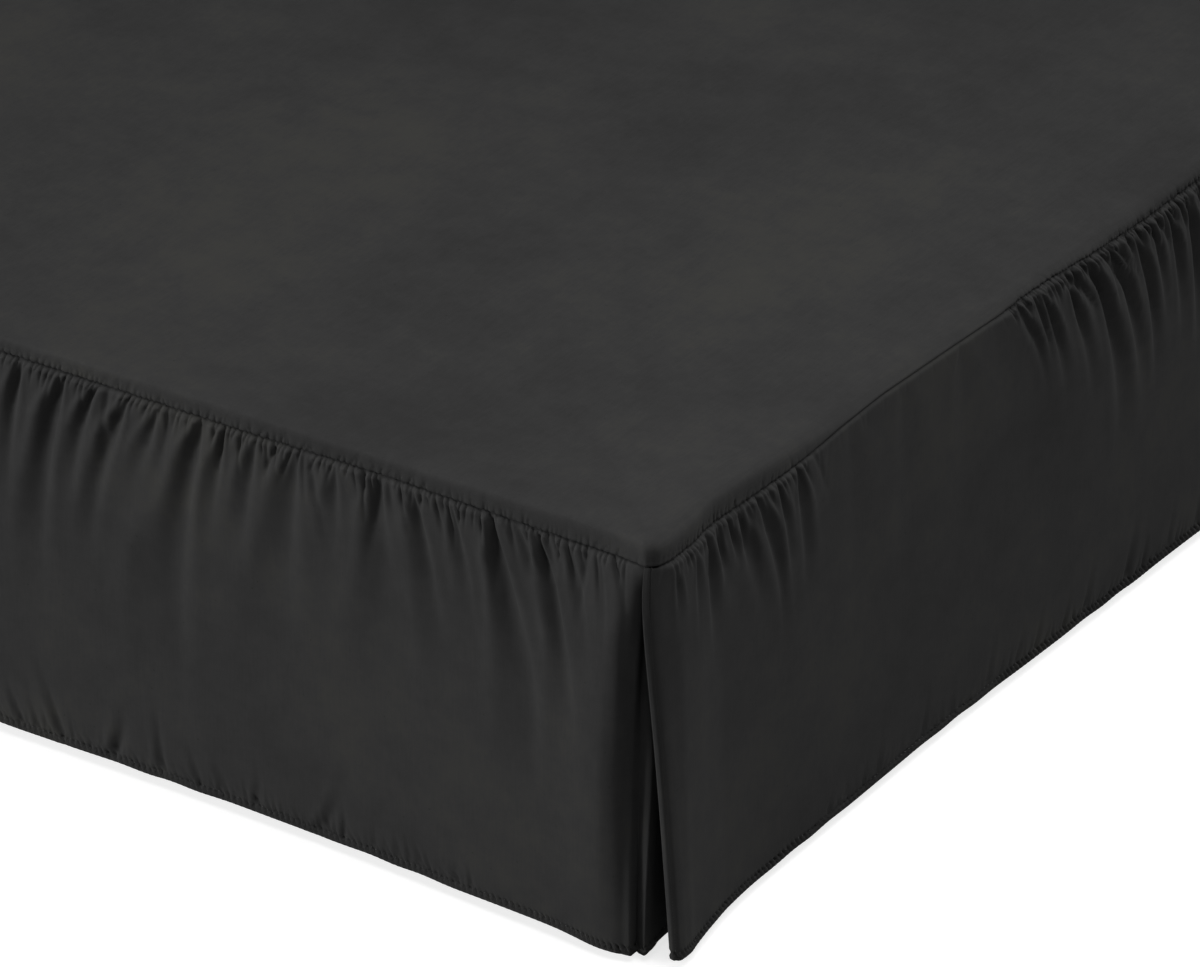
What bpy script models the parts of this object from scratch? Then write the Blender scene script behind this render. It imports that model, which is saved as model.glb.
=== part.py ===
"""A queen size bed skirt hanging from a plain upholstered bed base. Metres, +Z up, +Y to the head of the bed.

The origin is on the floor under the middle of the footprint. The skirt is a deck panel, sewn along three edges
to a foot drop and two side drops. Both foot corners are split: each end of the foot drop turns round its corner
and hangs behind the free edge of the side drop. Each drop is a sheet through a grid of points, which its
sections and folds place, and a Solidify modifier gives it the cloth's thickness.
"""

import bmesh
import bpy
import numpy as np

# Bed base.
BASE_WIDTH = 1.524
BASE_LENGTH = 2.032
BASE_BOTTOM = 0.193
BASE_TOP = 0.4225
BASE_TOP_RADIUS = 0.022
BASE_CORNER_RADIUS = 0.030
BASE_BOTTOM_RADIUS = 0.006
CORNER_SEGMENTS = 5
TOP_SEGMENTS = 4
BOTTOM_SEGMENTS = 2

# Legs.
LEG_TOP_RADIUS = 0.032
LEG_FOOT_RADIUS = 0.024
LEG_SIDES = 20
LEG_INSET = 0.130
LEG_GAP = 0.0003
LEG_SHARP_ANGLE = np.pi / 6

# Cloth. The seam plane is the middle of the cloth where a drop meets the deck.
CLOTH = 0.0015
SEAM_GAP = 0.0004
SEAM_OUT = 0.00475
SEAM_HEIGHT = 0.4145
DROP = 0.4035
DECK_TOP = 0.4245
FOOT_REACH = 0.020

# The corner of two seam planes, from which each drop's tables are measured, and the lengths of the seams.
CORNER_X = BASE_WIDTH / 2 + SEAM_OUT
BED_Y = FOOT_REACH / 2
CORNER_Y = BED_Y - BASE_LENGTH / 2 - SEAM_OUT
SIDE_LENGTH = BASE_LENGTH + SEAM_OUT
FOOT_LENGTH = 2 * CORNER_X
SIDE_END = SIDE_LENGTH + 0.017  # a side drop's length along the cloth

# How a side drop hangs in plan, a row for each section from its free edge to the head end. Columns: cut (place
# along the cloth), then along the bed and out from the seam plane at the seam, the same two at the hem, and how
# far the section is drawn towards the foot just below the seam.
SIDE_SECTIONS = (
    (0.000, -0.0060, -0.0010, 0.0010, 0.0246, 0.008),
    (0.006, -0.0040, 0.0032, -0.0007, 0.0301, 0.007),
    (0.012, -0.0010, 0.0070, 0.0031, 0.0344, 0.006),
    (0.019, 0.0040, 0.0095, 0.0090, 0.0347, 0.004),
    (0.027, 0.0115, 0.0108, 0.0145, 0.0339, 0.002),
    (0.037, 0.0210, 0.0114, 0.0200, 0.0324, 0.001),
    (0.050, 0.0340, 0.0105, 0.0290, 0.0294, 0.000),
    (0.075, 0.0590, 0.0080, 0.0505, 0.0249, 0.000),
    (0.100, 0.0835, 0.0030, 0.075, 0.0205, 0.000),
    (0.130, 0.1130, 0.0000, 0.105, 0.0155, 0.000),
    (0.195, 0.1780, 0.0000, 0.170, 0.0100, 0.000),
    (0.280, 0.2630, 0.0000, 0.257, 0.0075, 0.000),
    (0.410, 0.3930, 0.0000, 0.390, 0.0035, 0.000),
    (0.560, 0.5430, 0.0000, 0.543, 0.0000, 0.000),
    (0.640, 0.6230, 0.0005, 0.623, 0.0000, 0.000),
    (0.760, 0.7430, 0.0035, 0.743, 0.0000, 0.000),
    (0.940, 0.9230, 0.0022, 0.923, 0.0000, 0.000),
    (1.200, 1.1830, 0.0000, 1.183, 0.0000, 0.000),
    (SIDE_END, SIDE_LENGTH, 0.0000, SIDE_LENGTH, 0.0000, 0.000),
)

# How half of the foot drop hangs, from the end of its underlap to the middle, in the same columns. Along runs
# from the corner to the middle of the foot, so an underlap has its length in the out columns, below zero.
FOOT_SECTIONS = (
    (-0.125, 0.0018, -0.1130, 0.0018, -0.0980, 0.000),
    (-0.100, 0.0012, -0.0880, 0.0026, -0.0730, 0.000),
    (-0.068, -0.0055, -0.0560, 0.0045, -0.0410, 0.000),
    (-0.052, -0.0080, -0.0400, 0.0035, -0.0225, 0.000),
    (-0.038, -0.0083, -0.0260, 0.0008, -0.0075, 0.000),
    (-0.026, -0.0083, -0.0140, 0.0005, 0.0045, 0.000),
    (-0.018, -0.0070, -0.0060, 0.0055, 0.0035, 0.000),
    (-0.010, -0.0035, 0.0010, 0.0120, 0.0005, 0.000),
    (0.000, 0.0020, 0.0038, 0.0115, 0.0118, 0.000),
    (0.009, 0.0090, 0.0045, 0.0190, 0.0130, 0.000),
    (0.016, 0.0160, 0.0035, 0.0250, 0.0136, 0.000),
    (0.025, 0.0250, 0.0020, 0.0330, 0.0140, 0.000),
    (0.036, 0.0360, 0.0008, 0.0425, 0.0140, 0.000),
    (0.053, 0.0530, 0.0000, 0.0565, 0.0138, 0.000),
    (0.100, 0.1000, 0.0000, 0.1000, 0.0120, 0.000),
    (0.165, 0.1650, 0.0000, 0.1650, 0.0095, 0.000),
    (0.279, 0.2790, 0.0000, 0.2790, 0.0040, 0.000),
    (0.395, 0.3950, 0.0000, 0.3950, 0.0005, 0.000),
    (0.512, 0.5120, 0.0000, 0.5120, 0.0000, 0.000),
    (0.632, 0.6320, 0.0000, 0.6320, 0.0010, 0.000),
    (0.753, 0.7530, 0.0000, 0.7530, 0.0025, 0.000),
)
SIDE_OPENING = 1.0  # a side drop moves evenly from its seam shape to its hem shape
FOOT_OPENING = 2.5  # the foot drop takes its hem shape sooner
DRAW_AT = 0.15  # share of the drop at which the draw towards the foot is strongest

# Main folds, a row for each valley. Columns: cut (place along the cloth at the seam), lean (how far sideways
# for each metre down), reach (how far down it runs), depth and half width.
SIDE_FOLDS = (
    (0.098, 0.10, 0.10, 0.005, 0.010),
    (0.155, 0.34, 0.10, 0.005, 0.010),
    (0.187, 0.36, 0.12, 0.006, 0.011),
    (0.218, 0.40, 0.08, 0.004, 0.009),
    (0.253, 0.20, 0.11, 0.005, 0.011),
    (0.341, 0.10, 0.20, 0.002, 0.020),
    (0.430, 0.10, 0.20, 0.002, 0.022),
    (0.532, 0.10, 0.25, 0.002, 0.020),
    (0.634, 0.30, 0.10, 0.006, 0.010),
    (0.667, 0.55, 0.12, 0.007, 0.011),
    (0.708, 0.50, 0.14, 0.007, 0.011),
    (0.753, 0.52, 0.22, 0.010, 0.013),
    (0.792, 0.53, 0.18, 0.009, 0.012),
    (0.832, 0.54, 0.16, 0.009, 0.012),
    (0.863, 0.52, 0.10, 0.006, 0.010),
    (0.897, 0.42, 0.14, 0.008, 0.011),
    (0.932, 0.36, 0.18, 0.009, 0.012),
    (0.975, 0.30, 0.13, 0.007, 0.011),
    (1.014, 0.24, 0.20, 0.010, 0.013),
    (1.055, 0.18, 0.12, 0.006, 0.011),
    (1.091, 0.10, 0.17, 0.009, 0.012),
    (1.136, 0.04, 0.11, 0.007, 0.011),
    (1.172, -0.05, 0.21, 0.009, 0.013),
    (1.215, -0.14, 0.13, 0.007, 0.011),
    (1.252, -0.22, 0.16, 0.008, 0.012),
    (1.299, -0.30, 0.10, 0.006, 0.010),
    (1.334, -0.38, 0.18, 0.009, 0.012),
    (1.378, -0.45, 0.12, 0.007, 0.011),
    (1.417, -0.42, 0.10, 0.006, 0.010),
    (1.520, -0.10, 0.24, 0.002, 0.021),
    (1.655, -0.06, 0.20, 0.002, 0.022),
    (1.778, -0.12, 0.12, 0.004, 0.012),
    (1.836, -0.25, 0.10, 0.005, 0.011),
    (1.884, -0.30, 0.13, 0.006, 0.011),
    (1.941, -0.22, 0.09, 0.004, 0.010),
    (1.992, -0.08, 0.12, 0.005, 0.011),
)
FOOT_FOLDS = (
    (0.119, -0.36, 0.15, 0.008, 0.011),
    (0.170, -0.28, 0.20, 0.009, 0.012),
    (0.214, -0.27, 0.09, 0.004, 0.009),
    (0.257, -0.24, 0.13, 0.006, 0.012),
    (0.296, -0.06, 0.18, 0.006, 0.014),
    (0.343, 0.03, 0.08, 0.004, 0.012),
    (0.388, 0.11, 0.17, 0.006, 0.018),
    (0.433, 0.20, 0.10, 0.005, 0.012),
    (0.469, 0.20, 0.09, 0.005, 0.010),
    (0.497, 0.22, 0.26, 0.007, 0.012),
    (0.545, 0.28, 0.08, 0.005, 0.010),
    (0.580, 0.40, 0.14, 0.008, 0.012),
    (0.618, 0.42, 0.10, 0.007, 0.012),
    (0.655, 0.33, 0.18, 0.010, 0.014),
    (0.706, 0.25, 0.12, 0.006, 0.012),
    (0.752, 0.12, 0.12, 0.007, 0.013),
    (0.797, -0.08, 0.20, 0.008, 0.013),
    (0.838, -0.20, 0.09, 0.005, 0.010),
    (0.872, -0.30, 0.15, 0.008, 0.012),
    (0.921, -0.36, 0.11, 0.006, 0.012),
    (0.960, -0.30, 0.08, 0.005, 0.010),
    (1.003, -0.21, 0.24, 0.007, 0.013),
    (1.050, -0.18, 0.10, 0.005, 0.011),
    (1.095, -0.13, 0.15, 0.006, 0.015),
    (1.148, 0.00, 0.12, 0.005, 0.014),
    (1.202, 0.08, 0.18, 0.007, 0.014),
    (1.256, 0.20, 0.10, 0.005, 0.012),
    (1.302, 0.27, 0.14, 0.006, 0.012),
    (1.360, 0.30, 0.20, 0.009, 0.012),
    (1.409, 0.36, 0.15, 0.008, 0.011),
)

# The seam rides up and down on the rounded edge of the base. Columns: cut, height.
SIDE_SEAM_WAVE = (
    (0.00, -0.0010), (0.06, -0.0025), (0.12, -0.0049), (0.22, -0.0064), (0.27, -0.0046), (0.33, 0.0010),
    (0.40, 0.0048), (0.50, 0.0035), (0.60, 0.0015), (0.69, 0.0032), (0.78, -0.0008), (0.87, -0.0040),
    (1.00, -0.0020), (1.20, 0.0020), (1.45, -0.0030), (1.75, 0.0030), (2.05, 0.0000),
)
FOOT_SEAM_WAVE = (
    (FOOT_SECTIONS[0][0], -0.0050), (-0.018, -0.0050), (0.000, -0.0014), (0.050, -0.0034), (0.120, -0.0028),
    (0.280, 0.0000), (0.350, -0.0004), (0.430, -0.0020), (FOOT_LENGTH - 0.430, -0.0020),
    (FOOT_LENGTH - 0.350, -0.0004), (FOOT_LENGTH - 0.280, 0.0000), (FOOT_LENGTH - 0.120, -0.0028),
    (FOOT_LENGTH - 0.050, -0.0034), (FOOT_LENGTH, -0.0014), (FOOT_LENGTH + 0.018, -0.0050),
    (FOOT_LENGTH - FOOT_SECTIONS[0][0], -0.0050),
)
HEM_DIP = 0.0035  # the foot drop's hem hangs this much lower at each corner
HEM_DIP_REACH = 0.050

# The deck rolls over the edge of the base. Columns: cut, width of the roll, how high the deck puffs up there,
# and the power of its outline: 1 for an ellipse, less for a boxier edge.
SIDE_ROLL = (
    (0.00, 0.018, 0.013, 0.34), (0.10, 0.016, 0.012, 0.34), (0.18, 0.014, 0.009, 0.40),
    (0.28, 0.014, 0.003, 0.72), (0.36, 0.026, 0.001, 0.85), (0.57, 0.026, 0.000, 0.85),
    (0.64, 0.010, 0.000, 0.80), (2.06, 0.010, 0.000, 0.80),
)
FOOT_ROLL = (
    (0.00, 0.018, 0.013, 0.34), (0.12, 0.014, 0.011, 0.34), (0.30, 0.014, 0.009, 0.34),
    (0.50, 0.013, 0.008, 0.34), (0.62, 0.011, 0.006, 0.40), (0.77, 0.010, 0.003, 0.50),
)

# A soft ridge runs down the foot drop beside each corner. Columns: depth below the seam, cut, height of the ridge.
CORNER_RIDGE = (
    (0.000, 0.006, 0.0000), (0.011, 0.009, 0.0025), (0.089, 0.030, 0.0060), (0.204, 0.036, 0.0060),
    (DROP, 0.036, 0.0020),
)
RIDGE_SLOW_SIDE = 0.045
RIDGE_STEEP_SIDE = 0.020

# Behind the foot drop's edge at each corner the cloth is drawn into a deep pleat. Columns: cut, then how far
# along and out the pleat moves the cloth at its upper level and at its lower level.
CORNER_PLEAT = (
    (-0.060, 0.0000, 0.0000, 0.0000, 0.0000),
    (-0.038, 0.0040, -0.0040, 0.0007, -0.0045),
    (-0.026, 0.0085, -0.0060, 0.0010, -0.0075),
    (-0.018, 0.0105, -0.0060, 0.0015, -0.0060),
    (-0.010, 0.0060, -0.0030, 0.0030, -0.0066),
    (0.000, 0.0030, -0.0040, 0.0065, -0.0090),
    (0.009, 0.0020, -0.0020, 0.0042, -0.0055),
    (0.016, 0.0012, -0.0010, 0.0030, -0.0030),
    (0.025, 0.0005, 0.0000, 0.0015, -0.0012),
    (0.036, 0.0000, 0.0000, 0.0000, 0.0000),
)
PLEAT_TOP = 0.030
PLEAT_UPPER = 0.100
PLEAT_LOWER = 0.210

# Rows of points on the deck's roll: shares of the way up, then shares of what is left of the way in.
ROLL_RISES = (0.0, 0.20, 0.85)
ROLL_RETURNS = (0.35, 1.0)
CORNER_CUT = 0.010  # the deck's corner lies this far along a side drop
CORNER_SPREAD = 0.030
FLAT_INSET = 0.140  # from here inwards the deck is flat
FLAT_SPREAD = 0.060

# How the folds are laid out.
DROP_ROWS = (0.0, 0.006, 0.020, 0.050, 0.110, 0.210, DROP)
FOLD_RISE = 0.010
LEAN_REACH = 0.20  # folds stop leaning at this depth
LEAN_DEPTH = 0.14
LEAN_CURVE = 1.6
PUFF = 0.0045
PUFF_AT_HEM = 0.002
PUFF_REACH = 0.30
MIN_OUT = -0.0012
FADE_RATE = 0.8  # a fold fades from a share of its reach that these two set
FADE_START = 0.15
PLAIN_STEP = 0.060
MIN_STEP = 0.0069
CALM = 0.030  # no folds this near a free edge or a corner
UNDERLAP_CUT = 0.135  # an underlap lies behind the side drop up to here

CLOTH_COLOUR = (0.033, 0.033, 0.034)
BASE_COLOUR = (0.24, 0.235, 0.225)
LEG_COLOUR = (0.018, 0.013, 0.010)
CLOTH_ROUGHNESS = 0.9
BASE_ROUGHNESS = 0.85
LEG_ROUGHNESS = 0.45


def smooth(rows, column, x):
    """Values of a table's column at x, on a curve through its rows that never overshoots them."""
    knots = np.array([row[0] for row in rows])
    values = np.array([row[column] for row in rows])
    step = np.diff(knots)
    slope = np.diff(values) / step
    before, after = slope[:-1], slope[1:]
    turns = before * after <= 0
    inner = np.where(turns, 0.0, 2 * before * after / np.where(turns, 1.0, before + after))
    tangent = np.concatenate([slope[:1], inner, slope[-1:]])
    x = np.clip(x, knots[0], knots[-1])
    k = np.clip(np.searchsorted(knots, x, side="right") - 1, 0, len(step) - 1)
    t = (x - knots[k]) / step[k]
    bend = 3 * slope[k] - 2 * tangent[k] - tangent[k + 1]
    curl = tangent[k] + tangent[k + 1] - 2 * slope[k]
    return values[k] + step[k] * (tangent[k] * t + bend * t**2 + curl * t**3)


def straight(rows, x):
    """Values of a table's second column at x, on straight lines between its rows."""
    return np.interp(x, [row[0] for row in rows], [row[1] for row in rows])


def ease(x):
    """0 to 1 as x goes from 0 to 1, level at both ends."""
    x = np.clip(x, 0.0, 1.0)
    return x * x * (3 - 2 * x)


def foot_sections():
    """The foot drop's sections across the whole foot, mirrored about its middle."""
    far = tuple(
        (FOOT_LENGTH - cut, FOOT_LENGTH - top_along, top_out, FOOT_LENGTH - hem_along, hem_out, -draw)
        for cut, top_along, top_out, hem_along, hem_out, draw in reversed(FOOT_SECTIONS)
    )
    return FOOT_SECTIONS + far


def column_cuts(sections, folds, wave):
    """Where a drop's columns of points are: at its sections, valleys, crests between valleys, and seam bends."""
    valleys = [fold[0] for fold in folds]
    crests = [(a + b) / 2 for a, b in zip(valleys, valleys[1:]) if b - a < PLAIN_STEP]
    bends = [row[0] for row in wave[1:-1]]
    cuts = []
    for place in sorted(valleys + crests + bends + [row[0] for row in sections]):
        if not cuts or place - cuts[-1] > MIN_STEP:
            cuts.append(place)
        elif place in valleys + bends:
            cuts[-1] = place
    return np.array(cuts)


def relief(cuts, depth, folds, calm):
    """How far the gathered cloth stands out from its sections, at places along it and a depth below the seam."""
    opened = 1 - np.exp(-((depth / FOLD_RISE) ** 2))
    stand = (PUFF_AT_HEM + (PUFF - PUFF_AT_HEM) * (1 - ease(depth / PUFF_REACH))) * opened
    for cut, _, reach, deep, half in folds:
        fade = opened * (1 - ease(FADE_RATE * depth / reach - FADE_START))
        stand = stand - deep * fade * np.exp(-(((cuts - cut) / half) ** 2))
    return np.maximum(stand, MIN_OUT) * calm


def corner_ridge(cuts, depth):
    """The soft ridge beside each corner of the foot, steep towards the corner."""
    place, height = (smooth(CORNER_RIDGE, k, depth) for k in (1, 2))
    total = 0.0
    for far in (cuts - place, FOOT_LENGTH - cuts - place):
        width = np.where(far > 0, RIDGE_SLOW_SIDE, RIDGE_STEEP_SIDE)
        total = total + height * np.exp(-((far / width) ** 2))
    return total


def corner_pleat(cuts, depth):
    """How far along and out the pleat behind each corner of the foot moves the cloth."""
    low = ease((depth - PLEAT_UPPER) / (PLEAT_LOWER - PLEAT_UPPER))
    upper = ease(depth / PLEAT_TOP) * (1 - low)
    lower = low * (1 - ease((depth - PLEAT_LOWER) / (DROP - PLEAT_LOWER)))
    along, out = 0.0, 0.0
    for place, side in ((cuts, 1), (FOOT_LENGTH - cuts, -1)):
        upper_along, upper_out, lower_along, lower_out = (smooth(CORNER_PLEAT, k, place) for k in range(1, 5))
        along = along + side * (upper * upper_along + lower * lower_along)
        out = out + upper * upper_out + lower * lower_out
    return along, out


def drop_points(sections, folds, wave, opening, cuts, ends, covering):
    """The middle of a drop's cloth as rows of (along, out, z), one row for each of DROP_ROWS.

    ends are the first and last place that may be folded, and covering is true where an underlap lies behind.
    The columns of points follow the leaning folds, so from the seam down they move along the cloth.
    """
    at_foot = sections is not SIDE_SECTIONS
    lean = np.interp(cuts, [ends[0], *(f[0] for f in folds), ends[1]], [0.0, *(f[1] for f in folds), 0.0])
    rows = []
    for depth in DROP_ROWS:
        share = depth / DROP
        moved = cuts + lean * LEAN_DEPTH * (1 - (1 - min(depth / LEAN_REACH, 1.0)) ** LEAN_CURVE)
        start_along, start_out, hem_along, hem_out, draw = (smooth(sections, k, moved) for k in range(1, 6))
        opened = 1 - (1 - share) ** opening
        drawn = draw * share / DRAW_AT * np.exp(1 - share / DRAW_AT)
        along = start_along + (hem_along - start_along) * opened - drawn
        out = start_out + (hem_out - start_out) * opened
        calm = ease((moved - ends[0]) / CALM) * ease((ends[1] - moved) / CALM)
        stand = relief(cuts, depth, folds, calm)
        stand = np.where(covering, np.maximum(stand, 0.0), stand)
        hem = SEAM_HEIGHT - DROP
        if at_foot:
            pleat_along, pleat_out = corner_pleat(moved, depth)
            along, out = along + pleat_along, out + pleat_out
            stand = stand + corner_ridge(moved, depth)
            near_corner = np.minimum(np.abs(moved), np.abs(FOOT_LENGTH - moved))
            hem = hem - HEM_DIP * np.exp(-((near_corner / HEM_DIP_REACH) ** 2))
        ahead, aside = np.gradient(along), np.gradient(out)
        length = np.hypot(ahead, aside)
        seam = SEAM_HEIGHT + straight(wave, moved)
        z = seam - SEAM_GAP / 2 + (hem - seam) * share
        rows.append(np.stack([along - stand * aside / length, out + stand * ahead / length, z], -1))
    return np.array(rows)


def new_object(name, mesh, material):
    """A scene object for a mesh, with its material."""
    mesh.materials.append(material)
    obj = bpy.data.objects.new(name, mesh)
    bpy.context.scene.collection.objects.link(obj)
    return obj


def new_material(name, colour, roughness):
    """A Principled material of one colour, for something that isn't metal."""
    material = bpy.data.materials.new(name)
    material.use_nodes = True
    shader = material.node_tree.nodes["Principled BSDF"]
    shader.inputs["Base Color"].default_value = (*colour, 1.0)
    shader.inputs["Roughness"].default_value = roughness
    shader.inputs["Metallic"].default_value = 0.0
    return material


def finish_mesh(name, shape):
    """A mesh from a bmesh, which is freed."""
    mesh = bpy.data.meshes.new(name)
    shape.to_mesh(mesh)
    shape.free()
    return mesh


def grid_shape(points, flipped):
    """A bmesh of quads over rows of points, and its vertices in the same rows."""
    shape = bmesh.new()
    rows = [[shape.verts.new(point) for point in row] for row in points]
    for upper, lower in zip(rows, rows[1:]):
        for k in range(len(upper) - 1):
            corners = (upper[k], lower[k], lower[k + 1], upper[k + 1])
            shape.faces.new(corners[::-1] if flipped else corners)
    return shape, rows


def cloth_object(name, shape, material):
    """A piece of cloth: the surface of a bmesh, given half of the cloth's thickness on each side."""
    cloth = new_object(name, finish_mesh(name, shape), material)
    wall = cloth.modifiers.new("Cloth thickness", "SOLIDIFY")
    wall.thickness = CLOTH
    wall.offset = 0.0
    return cloth


def side_drop(name, side, material):
    """The drop along one long side: side is 1 for the +X side and -1 for the -X side."""
    cuts = column_cuts(SIDE_SECTIONS, SIDE_FOLDS, SIDE_SEAM_WAVE)
    ends = (CALM, cuts[-1])
    covering = cuts < UNDERLAP_CUT
    rows = drop_points(SIDE_SECTIONS, SIDE_FOLDS, SIDE_SEAM_WAVE, SIDE_OPENING, cuts, ends, covering)
    points = np.stack([side * (CORNER_X + rows[..., 1]), CORNER_Y + rows[..., 0], rows[..., 2]], -1)
    shape, _ = grid_shape(points, side < 0)
    return cloth_object(name, shape, material)


def foot_drop(material):
    """The drop across the foot, with both of its ends turned round the corners as underlaps."""
    sections = foot_sections()
    cuts = column_cuts(sections, FOOT_FOLDS, FOOT_SEAM_WAVE)
    ends = (CALM, FOOT_LENGTH - CALM)
    covering = np.zeros(len(cuts), dtype=bool)
    rows = drop_points(sections, FOOT_FOLDS, FOOT_SEAM_WAVE, FOOT_OPENING, cuts, ends, covering)
    points = np.stack([CORNER_X - rows[..., 0], CORNER_Y - rows[..., 1], rows[..., 2]], -1)
    shape, _ = grid_shape(points, True)
    return cloth_object("foot_drop", shape, material)


def inset_along(distance, inset, spread):
    """How far along an edge a point of the deck lies once moved in from it, so that none meet at a corner."""
    return distance if distance >= inset + spread else inset + distance * spread / (inset + spread)


def deck_stations():
    """Half of the deck's edge, from the head end to the middle of the foot.

    Each station is its place at the seam as (x, y), its distance from the corner, true on the foot, the seam's
    height, and the width, puff and power of the roll.
    """
    stations = []
    side_cuts = sorted({row[0] for row in SIDE_SECTIONS + SIDE_SEAM_WAVE[1:-1]}, reverse=True)
    for cut in side_cuts:
        place = (CORNER_X + smooth(SIDE_SECTIONS, 2, cut), CORNER_Y + smooth(SIDE_SECTIONS, 1, cut))
        roll = [smooth(SIDE_ROLL, k, cut) for k in (1, 2, 3)]
        distance = SIDE_LENGTH if cut == side_cuts[0] else abs(cut - CORNER_CUT)
        stations.append((place, distance, cut < CORNER_CUT, straight(SIDE_SEAM_WAVE, cut), *roll))
    foot_cuts = sorted({row[0] for row in FOOT_SECTIONS + FOOT_SEAM_WAVE if 0 < row[0] < FOOT_LENGTH / 2})
    for cut in foot_cuts:
        place = (CORNER_X - smooth(FOOT_SECTIONS, 1, cut), CORNER_Y - smooth(FOOT_SECTIONS, 2, cut))
        roll = [smooth(FOOT_ROLL, k, cut) for k in (1, 2, 3)]
        stations.append((place, cut + CORNER_CUT, True, straight(FOOT_SEAM_WAVE, cut), *roll))
    return stations


def roll_rows(power):
    """How far in and how far up each row of the deck's roll lies, from 0 to 1, by the power of its outline."""
    rows = []
    for share in ROLL_RISES:
        sine = share ** (1 / power)
        rows.append((1 - (1 - sine**2) ** (power / 2), share))
    last = rows[-1][0]
    for share in ROLL_RETURNS:
        inward = last + (1 - last) * share
        cosine = (1 - inward) ** (1 / power)
        rows.append((inward, (1 - cosine**2) ** (power / 2)))
    return rows


def deck_column(station):
    """The deck's points at one station, from the seam over the roll to where the deck is flat."""
    (x, y), distance, on_foot, wave, roll, puff, power = station
    flat = DECK_TOP - CLOTH / 2

    def inner(inset, spread):
        along = inset_along(distance, inset, spread)
        return (CORNER_X - along, CORNER_Y + inset) if on_foot else (CORNER_X - inset, CORNER_Y + along)

    low = SEAM_HEIGHT + SEAM_GAP / 2 + wave
    end_x, end_y = inner(roll, CORNER_SPREAD)
    points = [
        (x + (end_x - x) * inward, y + (end_y - y) * inward, low + (flat + puff - low) * upward)
        for inward, upward in roll_rows(power)
    ]
    points.append((*inner(FLAT_INSET, FLAT_SPREAD), flat))
    return points


def deck_panel(material):
    """The sheet over the base: a band rolled over three of its edges, round a flat middle."""
    half = [deck_column(station) for station in deck_stations()]
    other = [[(-x, y, z) for x, y, z in column] for column in reversed(half)]
    columns = half + other
    shape, rows = grid_shape(np.array(columns).transpose(1, 0, 2), False)
    shape.faces.new(rows[-1])
    bmesh.ops.recalc_face_normals(shape, faces=shape.faces)
    return cloth_object("deck_panel", shape, material)


def bed_base(material):
    """An upholstered block with rounded edges, on which the deck lies."""
    shape = bmesh.new()
    bmesh.ops.create_cube(shape, size=1.0)
    bmesh.ops.scale(shape, vec=(BASE_WIDTH, BASE_LENGTH, BASE_TOP - BASE_BOTTOM), verts=shape.verts)
    bmesh.ops.translate(shape, vec=(0.0, BED_Y, (BASE_TOP + BASE_BOTTOM) / 2), verts=shape.verts)

    def along_z(edge):
        return abs(edge.verts[0].co.z - edge.verts[1].co.z) > (BASE_TOP - BASE_BOTTOM) / 2

    def at_height(edge, height):
        return all(abs(vert.co.z - height) < LEG_GAP for vert in edge.verts)

    def round_over(edges, radius, segments):
        bmesh.ops.bevel(shape, geom=edges, offset=radius, segments=segments, affect="EDGES", profile=0.5)

    round_over([edge for edge in shape.edges if along_z(edge)], BASE_CORNER_RADIUS, CORNER_SEGMENTS)
    round_over([edge for edge in shape.edges if at_height(edge, BASE_TOP)], BASE_TOP_RADIUS, TOP_SEGMENTS)
    round_over([edge for edge in shape.edges if at_height(edge, BASE_BOTTOM)], BASE_BOTTOM_RADIUS, BOTTOM_SEGMENTS)
    return new_object("bed_base", finish_mesh("bed_base", shape), material)


def leg(name, x, y, material):
    """A turned leg, wider at the top, standing on the floor."""
    height = BASE_BOTTOM - LEG_GAP
    shape = bmesh.new()
    bmesh.ops.create_cone(
        shape, cap_ends=True, segments=LEG_SIDES, radius1=LEG_FOOT_RADIUS, radius2=LEG_TOP_RADIUS, depth=height
    )
    bmesh.ops.translate(shape, vec=(0.0, 0.0, height / 2), verts=shape.verts)
    turned = new_object(name, finish_mesh(name, shape), material)
    turned.location = (x, y, 0.0)
    turned.data.shade_smooth()
    turned.data.set_sharp_from_angle(angle=LEG_SHARP_ANGLE)
    return turned


def main():
    for obj in list(bpy.data.objects):
        bpy.data.objects.remove(obj)
    cloth = new_material("charcoal brushed microfibre", CLOTH_COLOUR, CLOTH_ROUGHNESS)
    upholstery = new_material("grey woven upholstery", BASE_COLOUR, BASE_ROUGHNESS)
    wood = new_material("dark stained beech", LEG_COLOUR, LEG_ROUGHNESS)
    deck_panel(cloth)
    foot_drop(cloth)
    side_drop("side_drop_right", 1, cloth)
    side_drop("side_drop_left", -1, cloth)
    bed_base(upholstery)
    leg_x = BASE_WIDTH / 2 - LEG_INSET
    leg_y = BASE_LENGTH / 2 - LEG_INSET
    for side, x in (("left", -leg_x), ("right", leg_x)):
        for place, y in (("foot", -leg_y), ("middle", 0.0), ("head", leg_y)):
            leg(f"leg_{place}_{side}", x, BED_Y + y, wood)


main()
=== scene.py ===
"""A gathered bed skirt on its bed base: cloth, stitching, upholstery and legs, in a plain studio.

The skirt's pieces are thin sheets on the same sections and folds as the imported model, at a finer scale.
Metres, +Z up, +Y towards the head of the bed. Each operator makes one piece or one group of like pieces.
"""

import collections
import functools
import math

import bmesh
import bpy
import numpy as np
from bpy.props import FloatProperty, FloatVectorProperty, IntProperty, PointerProperty
from mathutils import Matrix, Vector


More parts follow.
